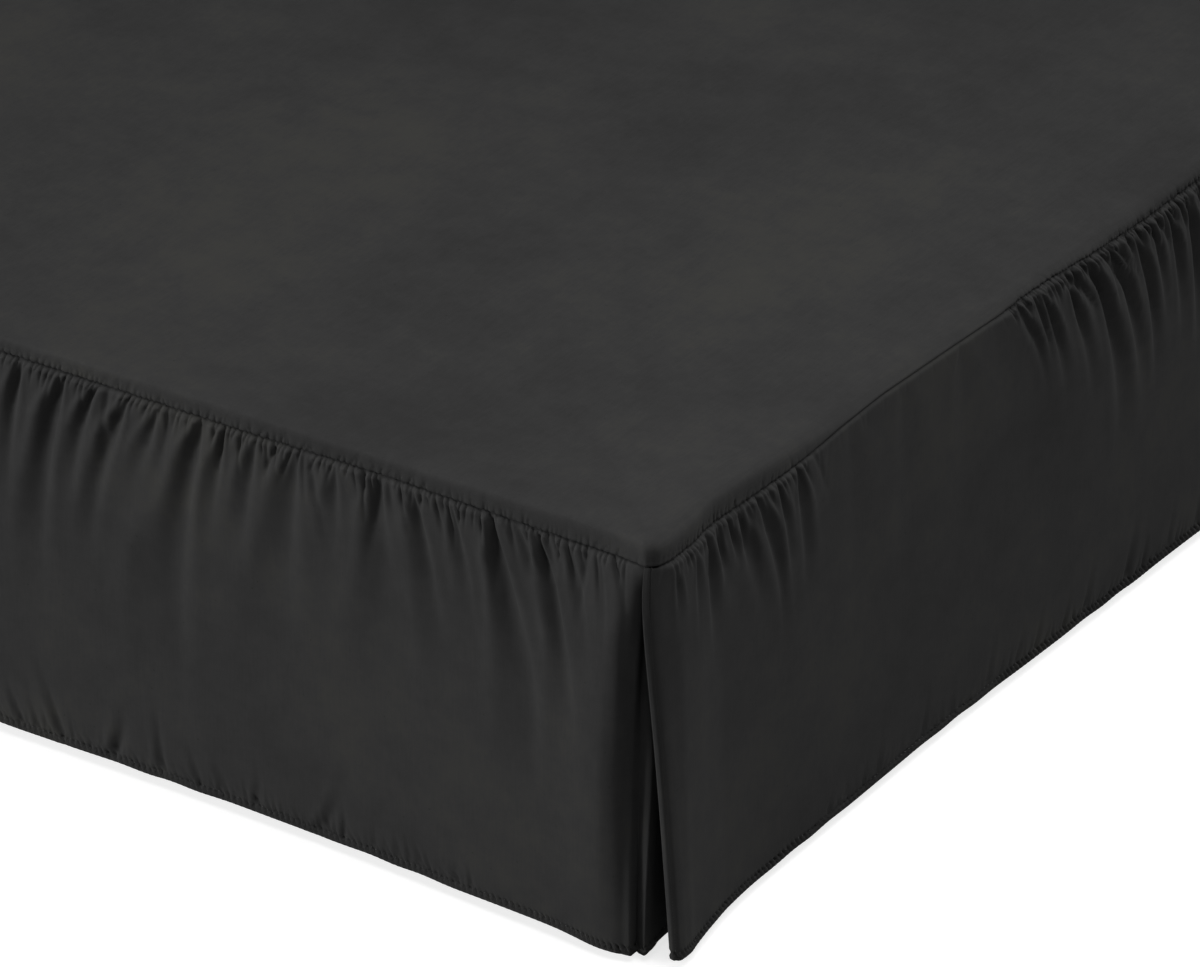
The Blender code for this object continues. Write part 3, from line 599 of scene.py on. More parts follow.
def hem_relief(drop, cut, depth, sizes):
    """Stitch line, roping and puckers of the hem, standing out from the cloth."""
    line = sizes.stitch_line
    height = DROP - depth
    turns = cut / drop.rope + height / ROPE_RISE
    rope = np.sin(2 * np.pi * turns + ROPE_WANDER * np.sin(cut * ROPE_WANDER_RATE))
    rope = rope * bump((height - ROPE_CENTRE * line) / (ROPE_HALF * line))
    first = bump((cut - drop.edges[0] - line) / GROOVE_HALF)
    last = bump((drop.edges[1] - cut - line) / GROOVE_HALF)
    groove = np.maximum(bump((height - line) / GROOVE_HALF), first + last)
    pucker = troughs(drop.puckers, cut, height - line, pucker_fade, pucker_section)
    return ROPE_DEPTH * rope - GROOVE_DEPTH * groove - PUCKER_DEPTH * pucker


def plan(drop, cut, depth):
    """A drop's plain section: along and out, before its folds."""
    share = depth / DROP
    opened = 1 - (1 - share) ** drop.opening
    start_along, start_out, hem_along, hem_out, draw = (smooth(drop.sections, k, cut) for k in range(1, 6))
    drawn = draw * share / DRAW_AT * np.exp(1 - share / DRAW_AT)
    along = start_along + (hem_along - start_along) * opened - drawn
    out = start_out + (hem_out - start_out) * opened
    if drop.sections is not SIDE_SECTIONS:
        low = ease((depth - PLEAT_UPPER) / (PLEAT_LOWER - PLEAT_UPPER))
        upper = ease(depth / PLEAT_TOP) * (1 - low)
        lower = low * (1 - ease((depth - PLEAT_LOWER) / (DROP - PLEAT_LOWER)))
        for place, side in ((cut, 1), (FOOT_LENGTH - cut, -1)):
            pleat = [smooth(CORNER_PLEAT, k, place) for k in range(1, 5)]
            along = along + side * (upper * pleat[0] + lower * pleat[2])
            out = out + upper * pleat[1] + lower * pleat[3]
    return along, out


def seam_draw(fullness):
    """Share of the seam's full crease: less where the cloth isn't gathered."""
    return np.minimum(PLAIN_CREASE + fullness, 1.0)


def corner_ridge(cut, depth):
    """The soft ridge beside each corner of the foot, steep towards the corner."""
    place = smooth(CORNER_RIDGE, 1, depth)
    height = smooth(CORNER_RIDGE, 2, depth)
    total = 0
    for far in (cut - place, FOOT_LENGTH - cut - place):
        total = total + height * np.where(far > 0, bump(far / RIDGE_SLOW_SIDE), bump(far / RIDGE_STEEP_SIDE))
    return total


def hang(drop, cut, depth, sizes):
    """Points of a drop's cloth as (along, out, z), over a grid of cuts and depths below the seam."""
    leans = [(drop.ends[0], 0.0), *((fold[0], fold[1]) for fold in drop.folds), (drop.ends[1], 0.0)]
    leaning = LEAN_DEPTH * (1 - (1 - np.minimum(depth / LEAN_REACH, 1)) ** LEAN_CURVE)
    stand = fold_relief(drop, cut - smooth(sorted(leans), 1, cut) * leaning, depth)
    hem = SEAM_HEIGHT - DROP
    if drop.sections is SIDE_SECTIONS:
        covered = 1 - ease((cut - COVERED_CUT) / COVERED_BLEND)
        stand = stand + covered * (np.maximum(stand, 0.0) - stand)
    else:
        stand = stand + corner_ridge(cut, depth)
        near_corner = np.minimum(np.abs(cut), np.abs(FOOT_LENGTH - cut))
        hem = hem - HEM_DIP * bump(near_corner / HEM_DIP_REACH)
    stand = stand + hem_relief(drop, cut, depth, sizes)
    stand = stand - sizes.crease * seam_draw(straight(drop.gathered, cut)) * bump(depth / CREASE_HALF)
    seam = SEAM_HEIGHT + straight(drop.wave, cut)
    sway = np.sin(cut * SWAY_RATE + SWAY_WANDER * np.sin(cut * SWAY_WANDER_RATE))
    lowest = ease(depth / DROP * 4 - 3)  # 0 down to the lowest quarter of the drop, 1 at its hem
    z = seam - SEAM_GAP / 2 + (hem - seam) * depth / DROP + HEM_SWAY * lowest * sway
    along, out = plan(drop, cut, depth)
    next_along, next_out = plan(drop, cut + SLOPE_STEP, depth)
    last_along, last_out = plan(drop, cut - SLOPE_STEP, depth)
    ahead, aside = next_along - last_along, next_out - last_out
    length = np.hypot(ahead, aside)
    return np.stack([along - stand * aside / length, out + stand * ahead / length, z], -1)


def hang_line(drop, cuts, depths, sizes):
    """Points of a drop along a line that has one depth or one cut."""
    if np.ptp(depths) == 0:
        return hang(drop, cuts[None, :], depths[:1, None], sizes)[0]
    return hang(drop, cuts[:1, None], depths[:, None], sizes)[:, 0]


def on_side(points, side):
    """Points of a side drop moved from (along, out, z) to their place."""
    return np.stack([side * (CORNER_X + points[..., 1]), CORNER_Y + points[..., 0], points[..., 2]], -1)


def on_foot(points):
    """Points of the foot drop moved from (along, out, z) to their place."""
    return np.stack([CORNER_X - points[..., 0], CORNER_Y - points[..., 1], points[..., 2]], -1)


def clear_selection():
    for obj in bpy.context.selected_objects:
        obj.select_set(False)


def make_active(obj):
    clear_selection()
    obj.select_set(True)
    bpy.context.view_layer.objects.active = obj


def new_mesh_object(name, points, faces, material):
    mesh = bpy.data.meshes.new(name)
    mesh.from_pydata(np.asarray(points).reshape(-1, 3).tolist(), [], faces)
    mesh.materials.append(material)
    obj = bpy.data.objects.new(name, mesh)
    bpy.context.scene.collection.objects.link(obj)
    return obj


def grid_faces(rows, columns, flipped):
    """Quads over a grid of points kept row by row."""
    start = (np.arange(rows - 1)[:, None] * columns + np.arange(columns - 1)[None, :]).ravel()
    faces = np.stack([start, start + columns, start + columns + 1, start + 1], -1)
    return (faces[:, ::-1] if flipped else faces).tolist()


def face_outwards(obj, upwards=False):
    """Turns a closed mesh's faces outwards, or an open sheet's upwards."""
    shape = bmesh.new()
    shape.from_mesh(obj.data)
    bmesh.ops.recalc_face_normals(shape, faces=shape.faces)
    if upwards and sum(face.normal.z * face.calc_area() for face in shape.faces) < 0:
        bmesh.ops.reverse_faces(shape, faces=shape.faces)
    shape.to_mesh(obj.data)
    shape.free()


def thicken(obj, weights, places, sizes):
    """Gives a sheet its thickness, more where weights are 1, and keeps its places on the flat cloth."""
    layers = obj.vertex_groups.new(name="folded over")
    levels = np.round(np.asarray(weights).ravel() * THICKNESS_LEVELS).astype(int)
    for level in range(THICKNESS_LEVELS + 1):
        found = np.nonzero(levels == level)[0]
        if len(found):
            layers.add(found.tolist(), level / THICKNESS_LEVELS, "REPLACE")
    flat = obj.data.attributes.new("flat_cloth", "FLOAT_VECTOR", "POINT")
    flat.data.foreach_set("vector", np.asarray(places, np.float32).ravel())
    wall = obj.modifiers.new("Cloth thickness", "SOLIDIFY")
    wall.thickness = sizes.folded
    wall.offset = 0.0
    wall.vertex_group = layers.name
    wall.thickness_vertex_group = sizes.cloth / sizes.folded
    make_active(obj)
    bpy.ops.object.modifier_apply(modifier=wall.name)
    obj.vertex_groups.clear()
    bpy.ops.object.shade_smooth()


def finish_piece(obj):
    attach(obj, "root")
    clear_selection()


def drop_sheet(name, drop, place, flipped, material, sizes):
    """A drop's cloth: a grid of points, with half as many columns below its fine gathers."""
    cut = spaced(*drop.edges, drop.steps)[None, :]
    depth = spaced(0.0, DROP, ROW_STEPS)[:, None]
    fine = int(np.searchsorted(depth[:, 0], FINE_DEPTH))

    def thinned(grid):
        rest = grid.shape[2:]
        return np.concatenate([grid[:fine].reshape(-1, *rest), grid[fine:, ::2].reshape(-1, *rest)])

    points = thinned(place(hang(drop, cut, depth, sizes)))
    columns = cut.shape[1]
    sparse = columns // 2 + 1
    first = fine * columns
    faces = grid_faces(fine, columns, flipped)
    band = thinned_rows(list(range(first - columns, first)), list(range(first, first + sparse)))
    faces += band if flipped else [face[::-1] for face in band]
    faces += [[first + k for k in face] for face in grid_faces(len(depth) - fine, sparse, flipped)]
    obj = new_mesh_object(name, points, faces, material)
    flat = np.stack(np.broadcast_arrays(cut, depth, 0.0), -1)
    thicken(obj, thinned(hem_band(drop, cut, depth, sizes)), thinned(flat), sizes)
    return obj


def stitch_mesh(name, middles, runs, outs, material, sizes):
    """Stitches as one mesh: a small spindle of thread at each middle, lying along its run."""
    angles = np.arange(STITCH_SIDES)[None, :, None] * 2 * np.pi / STITCH_SIDES
    across = np.cross(runs, outs)
    round_thread = THREAD_RADIUS * (np.cos(angles) * across[:, None, :] + np.sin(angles) * outs[:, None, :])
    half = sizes.stitch * STITCH_SHARE
    rings = []
    for place, width in STITCH_RINGS:
        ring = middles[:, None, :] + (runs * place * half)[:, None, :] + round_thread * width
        rings.append(ring if width else ring[:, :1])
    points = np.concatenate(rings, 1)
    per = points.shape[1]
    faces = []
    for first in range(1, 1 + STITCH_SIDES):
        after = first % STITCH_SIDES + 1
        second, second_after = first + STITCH_SIDES, after + STITCH_SIDES
        faces += [(0, after, first), (first, after, second_after, second), (per - 1, second, second_after)]
    faces = [tuple(corner + k * per for corner in face) for k in range(len(middles)) for face in faces]
    obj = new_mesh_object(name, points, faces, material)
    face_outwards(obj)
    obj.data.shade_smooth()
    return obj


def drop_stitches(name, drop, place, material, sizes):
    """The hem stitching of a drop, along its lower edge and up both of its ends."""
    line = sizes.stitch_line
    lower = np.arange(drop.edges[0] + line, drop.edges[1] - line, sizes.stitch)
    up = np.arange(FIRST_STITCH, DROP - line, sizes.stitch)
    outward = place(np.array([FOOT_LENGTH / 2, 1.0, 0.0])) - place(np.array([FOOT_LENGTH / 2, 0.0, 0.0]))

    def at(cuts, depths):
        return place(hang_line(drop, cuts, depths, sizes))

    middles, runs, outs = [], [], []
    for cuts, depths, along_hem in (
        (lower, np.full(len(lower), DROP - line), True),
        (np.full(len(up), drop.edges[0] + line), up, False),
        (np.full(len(up), drop.edges[1] - line), up, False),
    ):
        ahead = at(cuts + PROBE_STEP, depths) - at(cuts - PROBE_STEP, depths)
        down = at(cuts, depths + PROBE_STEP) - at(cuts, depths - PROBE_STEP)
        out = np.cross(ahead, down)
        out /= np.linalg.norm(out, axis=1, keepdims=True)
        out *= np.sign(np.median(out @ outward))
        run = ahead if along_hem else down
        run /= np.linalg.norm(run, axis=1, keepdims=True)
        middles.append(at(cuts, depths) + out * (sizes.cloth / 2 + STITCH_LIFT))
        runs.append(run)
        outs.append(out)
    return stitch_mesh(name, *(np.concatenate(x) for x in (middles, runs, outs)), material, sizes)


def side_drop_shape(seed, sizes):
    """A side drop, with its own pattern of small gathers and puckers."""
    rng = np.random.default_rng(seed)
    seam = fine_gathers(SIDE_GATHERED, GATHER_MARGIN, SIDE_END - GATHER_MARGIN, sizes.gather, rng)
    node = node_gathers(rng)
    return Drop(
        sections=SIDE_SECTIONS,
        folds=SIDE_FOLDS,
        gathered=SIDE_GATHERED,
        wave=SIDE_SEAM_WAVE,
        opening=SIDE_OPENING,
        ends=(GATHER_MARGIN, SIDE_END),
        edges=(0.0, SIDE_END),
        steps=SIDE_STEPS,
        gathers=np.concatenate([seam, node]),
        puckers=fine_puckers(SIDE_PUCKERS, FIRST_SIDE_PUCKER, SIDE_END, rng),
        rope=ROPE_PITCH,
    )


def foot_drop_shape(seed, sizes):
    """The foot drop, with its own pattern of small gathers and puckers."""
    rng = np.random.default_rng(seed)
    end = FOOT_LENGTH - FOOT_GATHER_MARGIN
    seam = fine_gathers(FOOT_GATHERED, FOOT_GATHER_MARGIN, end, sizes.gather, rng)
    return Drop(
        sections=mirrored(FOOT_SECTIONS),
        folds=FOOT_FOLDS,
        gathered=FOOT_GATHERED,
        wave=FOOT_SEAM_WAVE,
        opening=FOOT_OPENING,
        ends=(FOOT_MARGIN, FOOT_LENGTH - FOOT_MARGIN),
        edges=(-UNDERLAP, FOOT_LENGTH + UNDERLAP),
        steps=FOOT_STEPS,
        gathers=seam,
        puckers=fine_puckers(FOOT_PUCKERS, FIRST_FOOT_PUCKER, LAST_FOOT_PUCKER, rng),
        rope=-ROPE_PITCH,
    )


# The deck's outline. Columns: distance from its corner, below zero on the foot, and place out and along.
DECK_CORNER = 0.010
FOOT_SAG = 0.0025  # the outline bows out by this much at the middle of the foot
DECK_OUTLINE = tuple(sorted(
    [(row[0] - DECK_CORNER, row[2], row[1]) for row in SIDE_SECTIONS]
    + [(-row[0] - DECK_CORNER, -row[1], -row[2]) for row in FOOT_SECTIONS if row[0] > 0]
    + [(-FOOT_LENGTH / 2 - DECK_CORNER, -FOOT_LENGTH / 2, -FOOT_SAG)]
))
DECK_RISES = (0.0, 0.03, 0.07, 0.14, 0.26, 0.44, 0.64, 0.82, 0.93)  # share of the way up, for the edge's rows
DECK_RETURNS = (0.16, 0.45, 0.75, 1.0)  # share of the rest of the way in, for the rows over the edge
DECK_SETTLES = (0.10, 0.28, 0.55, 1.0)  # share of the way from the roll to the flat, for the sparser rows
FLAT_INSET = 0.140
FLAT_SPREAD = 0.060
CORNER_SPREAD = 0.030
END_BLEND = 0.2
HALVINGS = 5  # the deck's points get sparser this many times between its seam and its middle
FINE_ROWS = 5
HEAD_OVERHANG = 0.007
HEAD_PLACES = (0.0, 0.0035, 0.0065, 0.0085, 0.0115, 0.0135, 0.022, 0.045)
DECK_CELL = 0.039
BEAD_HEIGHT = 0.0006  # a bead of cloth stands up beside the seam
BEAD_PLACE = 0.0019
BEAD_HALF = 0.0009
# The deck's own puckers beside the seam: least and most spacing (as shares of their pitch), length, depth and
# half width, and the lean's mean and spread.
DECK_PUCKER_PITCH = 0.0052
DECK_PUCKER_SPREAD = (0.5, 1.5)
DECK_PUCKER_LEAN = (0.3, 0.35)
DECK_PUCKER_LENGTH = (0.008, 0.026)
DECK_PUCKER_DEPTH = (0.0010, 0.0022)
DECK_PUCKER_HALF = (0.0011, 0.0018)
DECK_PUCKER_START = 0.0015
DECK_PUCKER_REACH = 4  # half widths past which a pucker is too slight to matter
DECK_PUCKER_HOLD = 0.2  # share of the way in over which the puckers keep their full height
# And those beside the place where the side's gathering thread starts, which get shallower along the seam.
NODE_PUCKERS = range(-3, 26)
NODE_PUCKER_PITCH = 0.0050
NODE_PUCKER_LEAN = -0.7
NODE_PUCKER_LENGTH = (0.010, 0.024)
NODE_PUCKER_DEPTH = 0.0009
NODE_PUCKER_HALF = 0.0015
NODE_PUCKER_FADE = 40
# Broad waves of the deck's middle: how many, their rates, and their height over a slight crown.
SWAYS = 6
SWAY_RATES = (3, 9)
SWAY_PHASES = (0, 6.3)
SWAY_HEIGHT = 0.0016
CROWN = 0.0012
CROWN_BLEND = 0.25
FOOT_CROWN_BLEND = 0.12
HEAD_HEM_EDGE = 0.0010
HEAD_STITCH_MARGIN = 0.012


def thinned_rows(outer, inner):
    """Triangles between a row of points and one with half as many."""
    faces = []
    for k in range(len(inner) - 1):
        a, b, c, d, e = outer[2 * k], outer[2 * k + 1], outer[2 * k + 2], inner[k], inner[k + 1]
        faces += [(a, b, d), (b, e, d), (b, c, e)]
    return faces


def deck_distances():
    """Distances from the corner of the deck's stations, from the head end round to the middle of the foot."""
    fine = 2**HALVINGS
    far = SIDE_LENGTH + HEAD_OVERHANG
    cells = round((far - HEAD_PLACES[-1]) / DECK_CELL)
    side = [far - place for place in HEAD_PLACES] + list(np.linspace(far - HEAD_PLACES[-1], 0, cells + 1)[1:])
    foot = np.linspace(0, -FOOT_LENGTH / 2 - DECK_CORNER, round(FOOT_LENGTH / 2 / DECK_CELL) + 1)[1:]
    coarse = np.array(side + list(foot))
    parts = [np.linspace(a, b, fine, endpoint=False) for a, b in zip(coarse, coarse[1:])]
    return np.concatenate([*parts, coarse[-1:]])


def edge_rows(power):
    """How far in and how far up each row of the deck's rolled edge lies, from 0 to 1."""
    rows = []
    for share in DECK_RISES:
        sine = share ** (1 / power)
        rows.append((1 - (1 - sine**2) ** (power / 2), np.full_like(power, share)))
    last = rows[-1][0]
    for share in DECK_RETURNS:
        inward = last + (1 - last) * share
        cosine = (1 - inward) ** (1 / power)
        rows.append((inward, (1 - cosine**2) ** (power / 2)))
    return rows


def deck_points(sizes, rng):
    """The deck's rows of points from its seam inwards, each over the whole of its three sewn edges."""
    q = deck_distances()
    foot = q < 0
    side_cut, foot_cut = np.maximum(q + DECK_CORNER, 0), np.maximum(-q - DECK_CORNER, 0)

    def along_edge(foot_rows, side_rows, column):
        return np.where(foot, smooth(foot_rows, column, foot_cut), smooth(side_rows, column, side_cut))

    roll, puff, power = (along_edge(FOOT_ROLL, SIDE_ROLL, column) for column in (1, 2, 3))
    wave = np.where(foot, straight(FOOT_SEAM_WAVE, foot_cut), straight(SIDE_SEAM_WAVE, side_cut))
    fullness = np.where(foot, straight(FOOT_GATHERED, foot_cut), straight(SIDE_GATHERED, side_cut))
    low = SEAM_HEIGHT + SEAM_GAP / 2 + wave
    head_gap = SIDE_END - SIDE_LENGTH - DECK_CORNER
    near = np.abs(q) - np.where(foot, DECK_CORNER, head_gap) * ease(np.abs(q) / END_BLEND)

    def inner(inset, spread):
        moved = np.where(near >= inset + spread, near, inset + near * spread / (inset + spread))
        return (
            np.where(foot, CORNER_X - moved, CORNER_X - inset),
            np.where(foot, CORNER_Y + inset, CORNER_Y + moved),
        )

    x, y = CORNER_X + smooth(DECK_OUTLINE, 1, q), CORNER_Y + smooth(DECK_OUTLINE, 2, q)
    end_x, end_y = inner(roll, CORNER_SPREAD)
    flat_x, flat_y = inner(FLAT_INSET, FLAT_SPREAD)
    length = np.hypot(end_x - x, end_y - y)
    away_x, away_y = (x - end_x) / length, (y - end_y) / length
    puckers = seam_puckers(q, fullness, rng)
    halves = []
    for inward, upward in edge_rows(power):
        up = (DECK_MIDDLE + puff - low) * upward
        arc = up + length * inward
        lift = puckers(arc) * (1 - ease(inward * (1 + DECK_PUCKER_HOLD) - DECK_PUCKER_HOLD))
        lift = lift - sizes.crease * seam_draw(fullness) * bump(arc / CREASE_HALF)
        lift = lift + BEAD_HEIGHT * bump((arc - BEAD_PLACE) / BEAD_HALF)
        row = np.stack([
            x + (end_x - x) * inward + away_x * lift * (1 - inward),
            y + (end_y - y) * inward + away_y * lift * (1 - inward),
            low + up + lift * inward,
        ], -1)
        halves.append(row if len(halves) < FINE_ROWS else row[::2])
    for k, share in enumerate(DECK_SETTLES):
        z = DECK_MIDDLE + puff * (1 - ease(share))
        row = np.stack([end_x + (flat_x - end_x) * share, end_y + (flat_y - end_y) * share, z], -1)
        halves.append(row[:: 2 ** (k + 2)])
    return [np.concatenate([half, half[:-1][::-1] * [-1, 1, 1]]) for half in halves]


def seam_puckers(q, fullness, rng):
    """A function of distance from the seam that gives the deck's puckers beside it, at each station."""
    rows = []
    place = q.min()
    while place < q.max():
        full = np.interp(place, q[::-1], fullness[::-1])
        place += rng.uniform(*DECK_PUCKER_SPREAD) * DECK_PUCKER_PITCH / max(full, LEAST_FULLNESS)
        lean = rng.normal(*DECK_PUCKER_LEAN)
        length = rng.uniform(*DECK_PUCKER_LENGTH)
        depth = full * rng.uniform(*DECK_PUCKER_DEPTH)
        rows.append((place, lean, length, depth, rng.uniform(*DECK_PUCKER_HALF)))
    for k in NODE_PUCKERS:
        place = NODE_CUT - DECK_CORNER + k * NODE_PUCKER_PITCH
        depth = NODE_PUCKER_DEPTH * (1 - k / NODE_PUCKER_FADE)
        rows.append((place, NODE_PUCKER_LEAN, rng.uniform(*NODE_PUCKER_LENGTH), depth, NODE_PUCKER_HALF))

    def at(arc):
        total = np.zeros(len(q))
        for place, lean, length, deep, half in rows:
            near = np.abs(q - place) < DECK_PUCKER_REACH * half + abs(lean) * length
            far = (q[near] - place - lean * arc[near]) / half
            fade = ease(arc[near] / DECK_PUCKER_START) * (1 - ease(arc[near] / length))
            total[near] -= deep * fade * bump(far)
        return total

    return at


def deck_middle(ring, corner, rng):
    """Points and a grid of their numbers for the deck's middle, inside its innermost ring of points.

    The grid numbers the ring's points from 0 and the new points on from there. Its first row is at the head.
    """
    other = len(ring) - 1 - corner
    xs, ys = ring[corner : other + 1, 0], ring[: corner + 1, 1]
    ranges = (SWAY_RATES, SWAY_RATES, SWAY_PHASES)
    sway = [tuple(rng.uniform(*least_most) for least_most in ranges) for _ in range(SWAYS)]
    grid = np.empty((len(ys), len(xs)), int)
    grid[:, 0] = np.arange(corner + 1)
    grid[-1, :] = np.arange(corner, other + 1)
    grid[:, -1] = np.arange(other, len(ring))[::-1]
    points = []
    for i, y in enumerate(ys[:-1]):
        for j, x in enumerate(xs[1:-1], start=1):
            window = ease((xs[0] - abs(x)) / CROWN_BLEND) * ease((y - ys[-1]) / CROWN_BLEND)
            window = window * ease((ys[0] - y) / FOOT_CROWN_BLEND)
            wave = sum(math.sin(a * x + b * y + c) for a, b, c in sway) / SWAYS
            grid[i, j] = len(ring) + len(points)
            points.append((x, y, DECK_MIDDLE + window * (CROWN + SWAY_HEIGHT * wave)))
    return np.array(points), grid


def deck_sheet(name, material, sizes):
    """The deck panel: a fine band over its three sewn edges, a sparser middle and a turned head hem."""
    rng = np.random.default_rng(sizes.seed + DECK_SEED)
    rows = deck_points(sizes, rng)
    start = np.cumsum([0] + [len(row) for row in rows])
    index = [np.arange(a, b) for a, b in zip(start, start[1:])]
    faces = []
    for outer, inside in zip(index, index[1:]):
        if len(outer) == len(inside):
            faces += np.stack([outer[:-1], inside[:-1], inside[1:], outer[1:]], -1).tolist()
        else:
            faces += thinned_rows(outer.tolist(), inside.tolist())
    ring = rows[-1]
    half_ring = ring[: len(ring) // 2 + 1]
    # The corner is the point nearest the foot, and the furthest to the side of those equally near.
    corner = int(np.argmin(half_ring[:, 1] - half_ring[:, 0] * 1e-6))
    inside_points, grid = deck_middle(ring, corner, rng)
    grid = grid + start[-2]
    cells = np.stack([grid[:-1, :-1], grid[1:, :-1], grid[1:, 1:], grid[:-1, 1:]], -1)
    faces += cells.reshape(-1, 4).tolist()
    points = np.concatenate([*rows, inside_points])
    obj = new_mesh_object(name, points, faces, material)
    face_outwards(obj, upwards=True)
    thicken(obj, ease((points[:, 1] - (HEAD_Y - sizes.hem)) / HEAD_HEM_EDGE), points, sizes)
    return obj


def deck_stitches(name, material, sizes):
    """The stitching of the deck's hem at the head end."""
    x = np.arange(-CORNER_X + HEAD_STITCH_MARGIN, CORNER_X - HEAD_STITCH_MARGIN, sizes.stitch)
    y, z = HEAD_Y - sizes.stitch_line, DECK_MIDDLE + sizes.folded / 2
    middles = np.stack(np.broadcast_arrays(x, y, z), -1)
    runs = np.tile([1.0, 0.0, 0.0], (len(x), 1))
    outs = np.tile([0.0, 0.0, 1.0], (len(x), 1))
    return stitch_mesh(name, middles, runs, outs, material, sizes)


def connect(tree, node, inputs):
    """Sets a shader node's inputs, each to a number or a colour, or to another node's output by a link."""
    for name, value in inputs.items():
        if isinstance(value, bpy.types.NodeSocket):
            tree.links.new(value, node.inputs[name])
        else:
            node.inputs[name].default_value = value


def add_node(tree, kind, inputs=None, **settings):
    """Adds a shader node with its settings and connects its inputs."""
    made = tree.nodes.new(kind)
    for name, value in settings.items():
        setattr(made, name, value)
    connect(tree, made, inputs or {})
    return made


def new_material(name):
    """A material with an empty node tree, and its Principled shader linked to its output."""
    material = bpy.data.materials.new(name)
    material.use_nodes = True
    tree = material.node_tree
    tree.nodes.clear()
    shader = add_node(tree, "ShaderNodeBsdfPrincipled")
    add_node(tree, "ShaderNodeOutputMaterial", {"Surface": shader.outputs["BSDF"]})
    return material, tree, shader


def toned(colour, share=1.0):
    """A shader's colour, a share as bright as the one given."""
    return (*[part * share for part in colour], 1.0)


def microfibre(name, finish, flat_cloth):
    """Brushed microfibre: matt polyester whose nap lies in faint clouds and streaks, flecked with lint."""
    material, tree, shader = new_material(name)
    if flat_cloth:
        place = add_node(tree, "ShaderNodeAttribute", attribute_name="flat_cloth").outputs["Vector"]
    else:
        place = add_node(tree, "ShaderNodeTexCoord").outputs["Object"]
    # Broad patches of brushed nap about 300 mm across, and clouds from 60 mm down to 2 mm within them.
    patch = add_node(tree, "ShaderNodeTexNoise", {"Vector": place, "Scale": 3.2, "Detail": 1.0})
    inputs = {"Vector": place, "Scale": 17.0, "Detail": 6.0, "Roughness": 0.78}
    cloud = add_node(tree, "ShaderNodeTexNoise", inputs)
    # Nap streaks about 2 mm wide and 30 mm long, down the drop.
    along = add_node(tree, "ShaderNodeMapping", {"Vector": place, "Scale": (430.0, 30.0, 430.0)})
    inputs = {"Vector": along.outputs["Vector"], "Scale": 1.0, "Detail": 3.0, "Roughness": 0.6}
    streak = add_node(tree, "ShaderNodeTexNoise", inputs)
    # The nap itself is 0.1 mm; it is drawn at about 1 mm so that it shows.
    inputs = {"Vector": place, "Scale": 900.0, "Detail": 2.0, "Roughness": 0.7}
    nap = add_node(tree, "ShaderNodeTexNoise", inputs)
    shade = 0.0
    for layer, share in ((patch, 0.34), (cloud, 0.38), (streak, 0.14), (nap, 0.14)):
        inputs = {0: layer.outputs["Fac"], 1: share, 2: shade}
        shade = add_node(tree, "ShaderNodeMath", inputs, operation="MULTIPLY_ADD").outputs[0]
    tone = add_node(tree, "ShaderNodeMapRange", {"Value": shade, "From Min": 0.38, "From Max": 0.62})
    inputs = {"Value": shade, "From Min": 0.50, "From Max": 0.60, "To Max": 0.30}
    warmth = add_node(tree, "ShaderNodeMapRange", inputs)
    # Lint: a dark fleck of about 1 mm every 20 mm or so.
    flecks = add_node(tree, "ShaderNodeTexVoronoi", {"Vector": place, "Scale": 48.0, "Randomness": 1.0})
    lint = flecks.outputs["Distance"]
    inputs = {"Value": lint, "From Min": 0.02, "From Max": 0.06, "To Min": 0.45, "To Max": 0.0}
    fleck = add_node(tree, "ShaderNodeMapRange", inputs)
    colour = toned(finish.cloth_dark)
    for amount, other in ((tone, finish.cloth_light), (warmth, finish.nap), (fleck, finish.lint)):
        inputs = {"Factor": amount.outputs["Result"], "A": colour, "B": toned(other)}
        colour = add_node(tree, "ShaderNodeMix", inputs, data_type="RGBA").outputs["Result"]
    inputs = {"Value": nap.outputs["Fac"], "From Min": 0.3, "From Max": 0.7, "To Min": 0.84, "To Max": 0.95}
    rough = add_node(tree, "ShaderNodeMapRange", inputs)
    # The twill's 0.3 mm ribs are drawn at 1.1 mm.
    slanted = add_node(tree, "ShaderNodeMapping", {"Vector": place, "Rotation": (0.0, 0.0, math.radians(58))})
    inputs = {"Vector": slanted.outputs["Vector"], "Scale": 286.0, "Distortion": 1.5, "Detail": 1.0}
    twill = add_node(tree, "ShaderNodeTexWave", inputs)
    inputs = {0: twill.outputs["Fac"], 1: 0.25, 2: nap.outputs["Fac"]}
    height = add_node(tree, "ShaderNodeMath", inputs, operation="MULTIPLY_ADD").outputs[0]
    raised = add_node(tree, "ShaderNodeBump", {"Height": height, "Strength": 0.35, "Distance": 0.00035})
    connect(tree, shader, {
        "Base Color": colour,
        "Roughness": rough.outputs["Result"],
        "Normal": raised.outputs["Normal"],
        "Specular IOR Level": 0.08,
        "Sheen Weight": 0.02,
        "Sheen Roughness": 0.45,
        "Sheen Tint": toned(linear("#8C8C8E")),
    })
    return material


def thread(name, colour):
    """Spun polyester sewing thread: its twist shows as fine slanting ribs, a little paler than the cloth."""
    material, tree, shader = new_material(name)
    place = add_node(tree, "ShaderNodeTexCoord").outputs["Object"]
    # Twist of 0.3 mm in a thread 1 mm thick.
    inputs = {"Vector": place, "Scale": 2600.0, "Detail": 1.0}
    twist = add_node(tree, "ShaderNodeTexNoise", inputs).outputs["Fac"]
    inputs = {"Factor": twist, "A": toned(colour, 1.2), "B": toned(colour, 2.0)}
    tone = add_node(tree, "ShaderNodeMix", inputs, data_type="RGBA")
    raised = add_node(tree, "ShaderNodeBump", {"Height": twist, "Strength": 0.5, "Distance": 0.0001})
    connect(tree, shader, {
        "Base Color": tone.outputs["Result"],
        "Normal": raised.outputs["Normal"],
        "Roughness": 0.6,
        "Specular IOR Level": 0.35,
    })
    return material


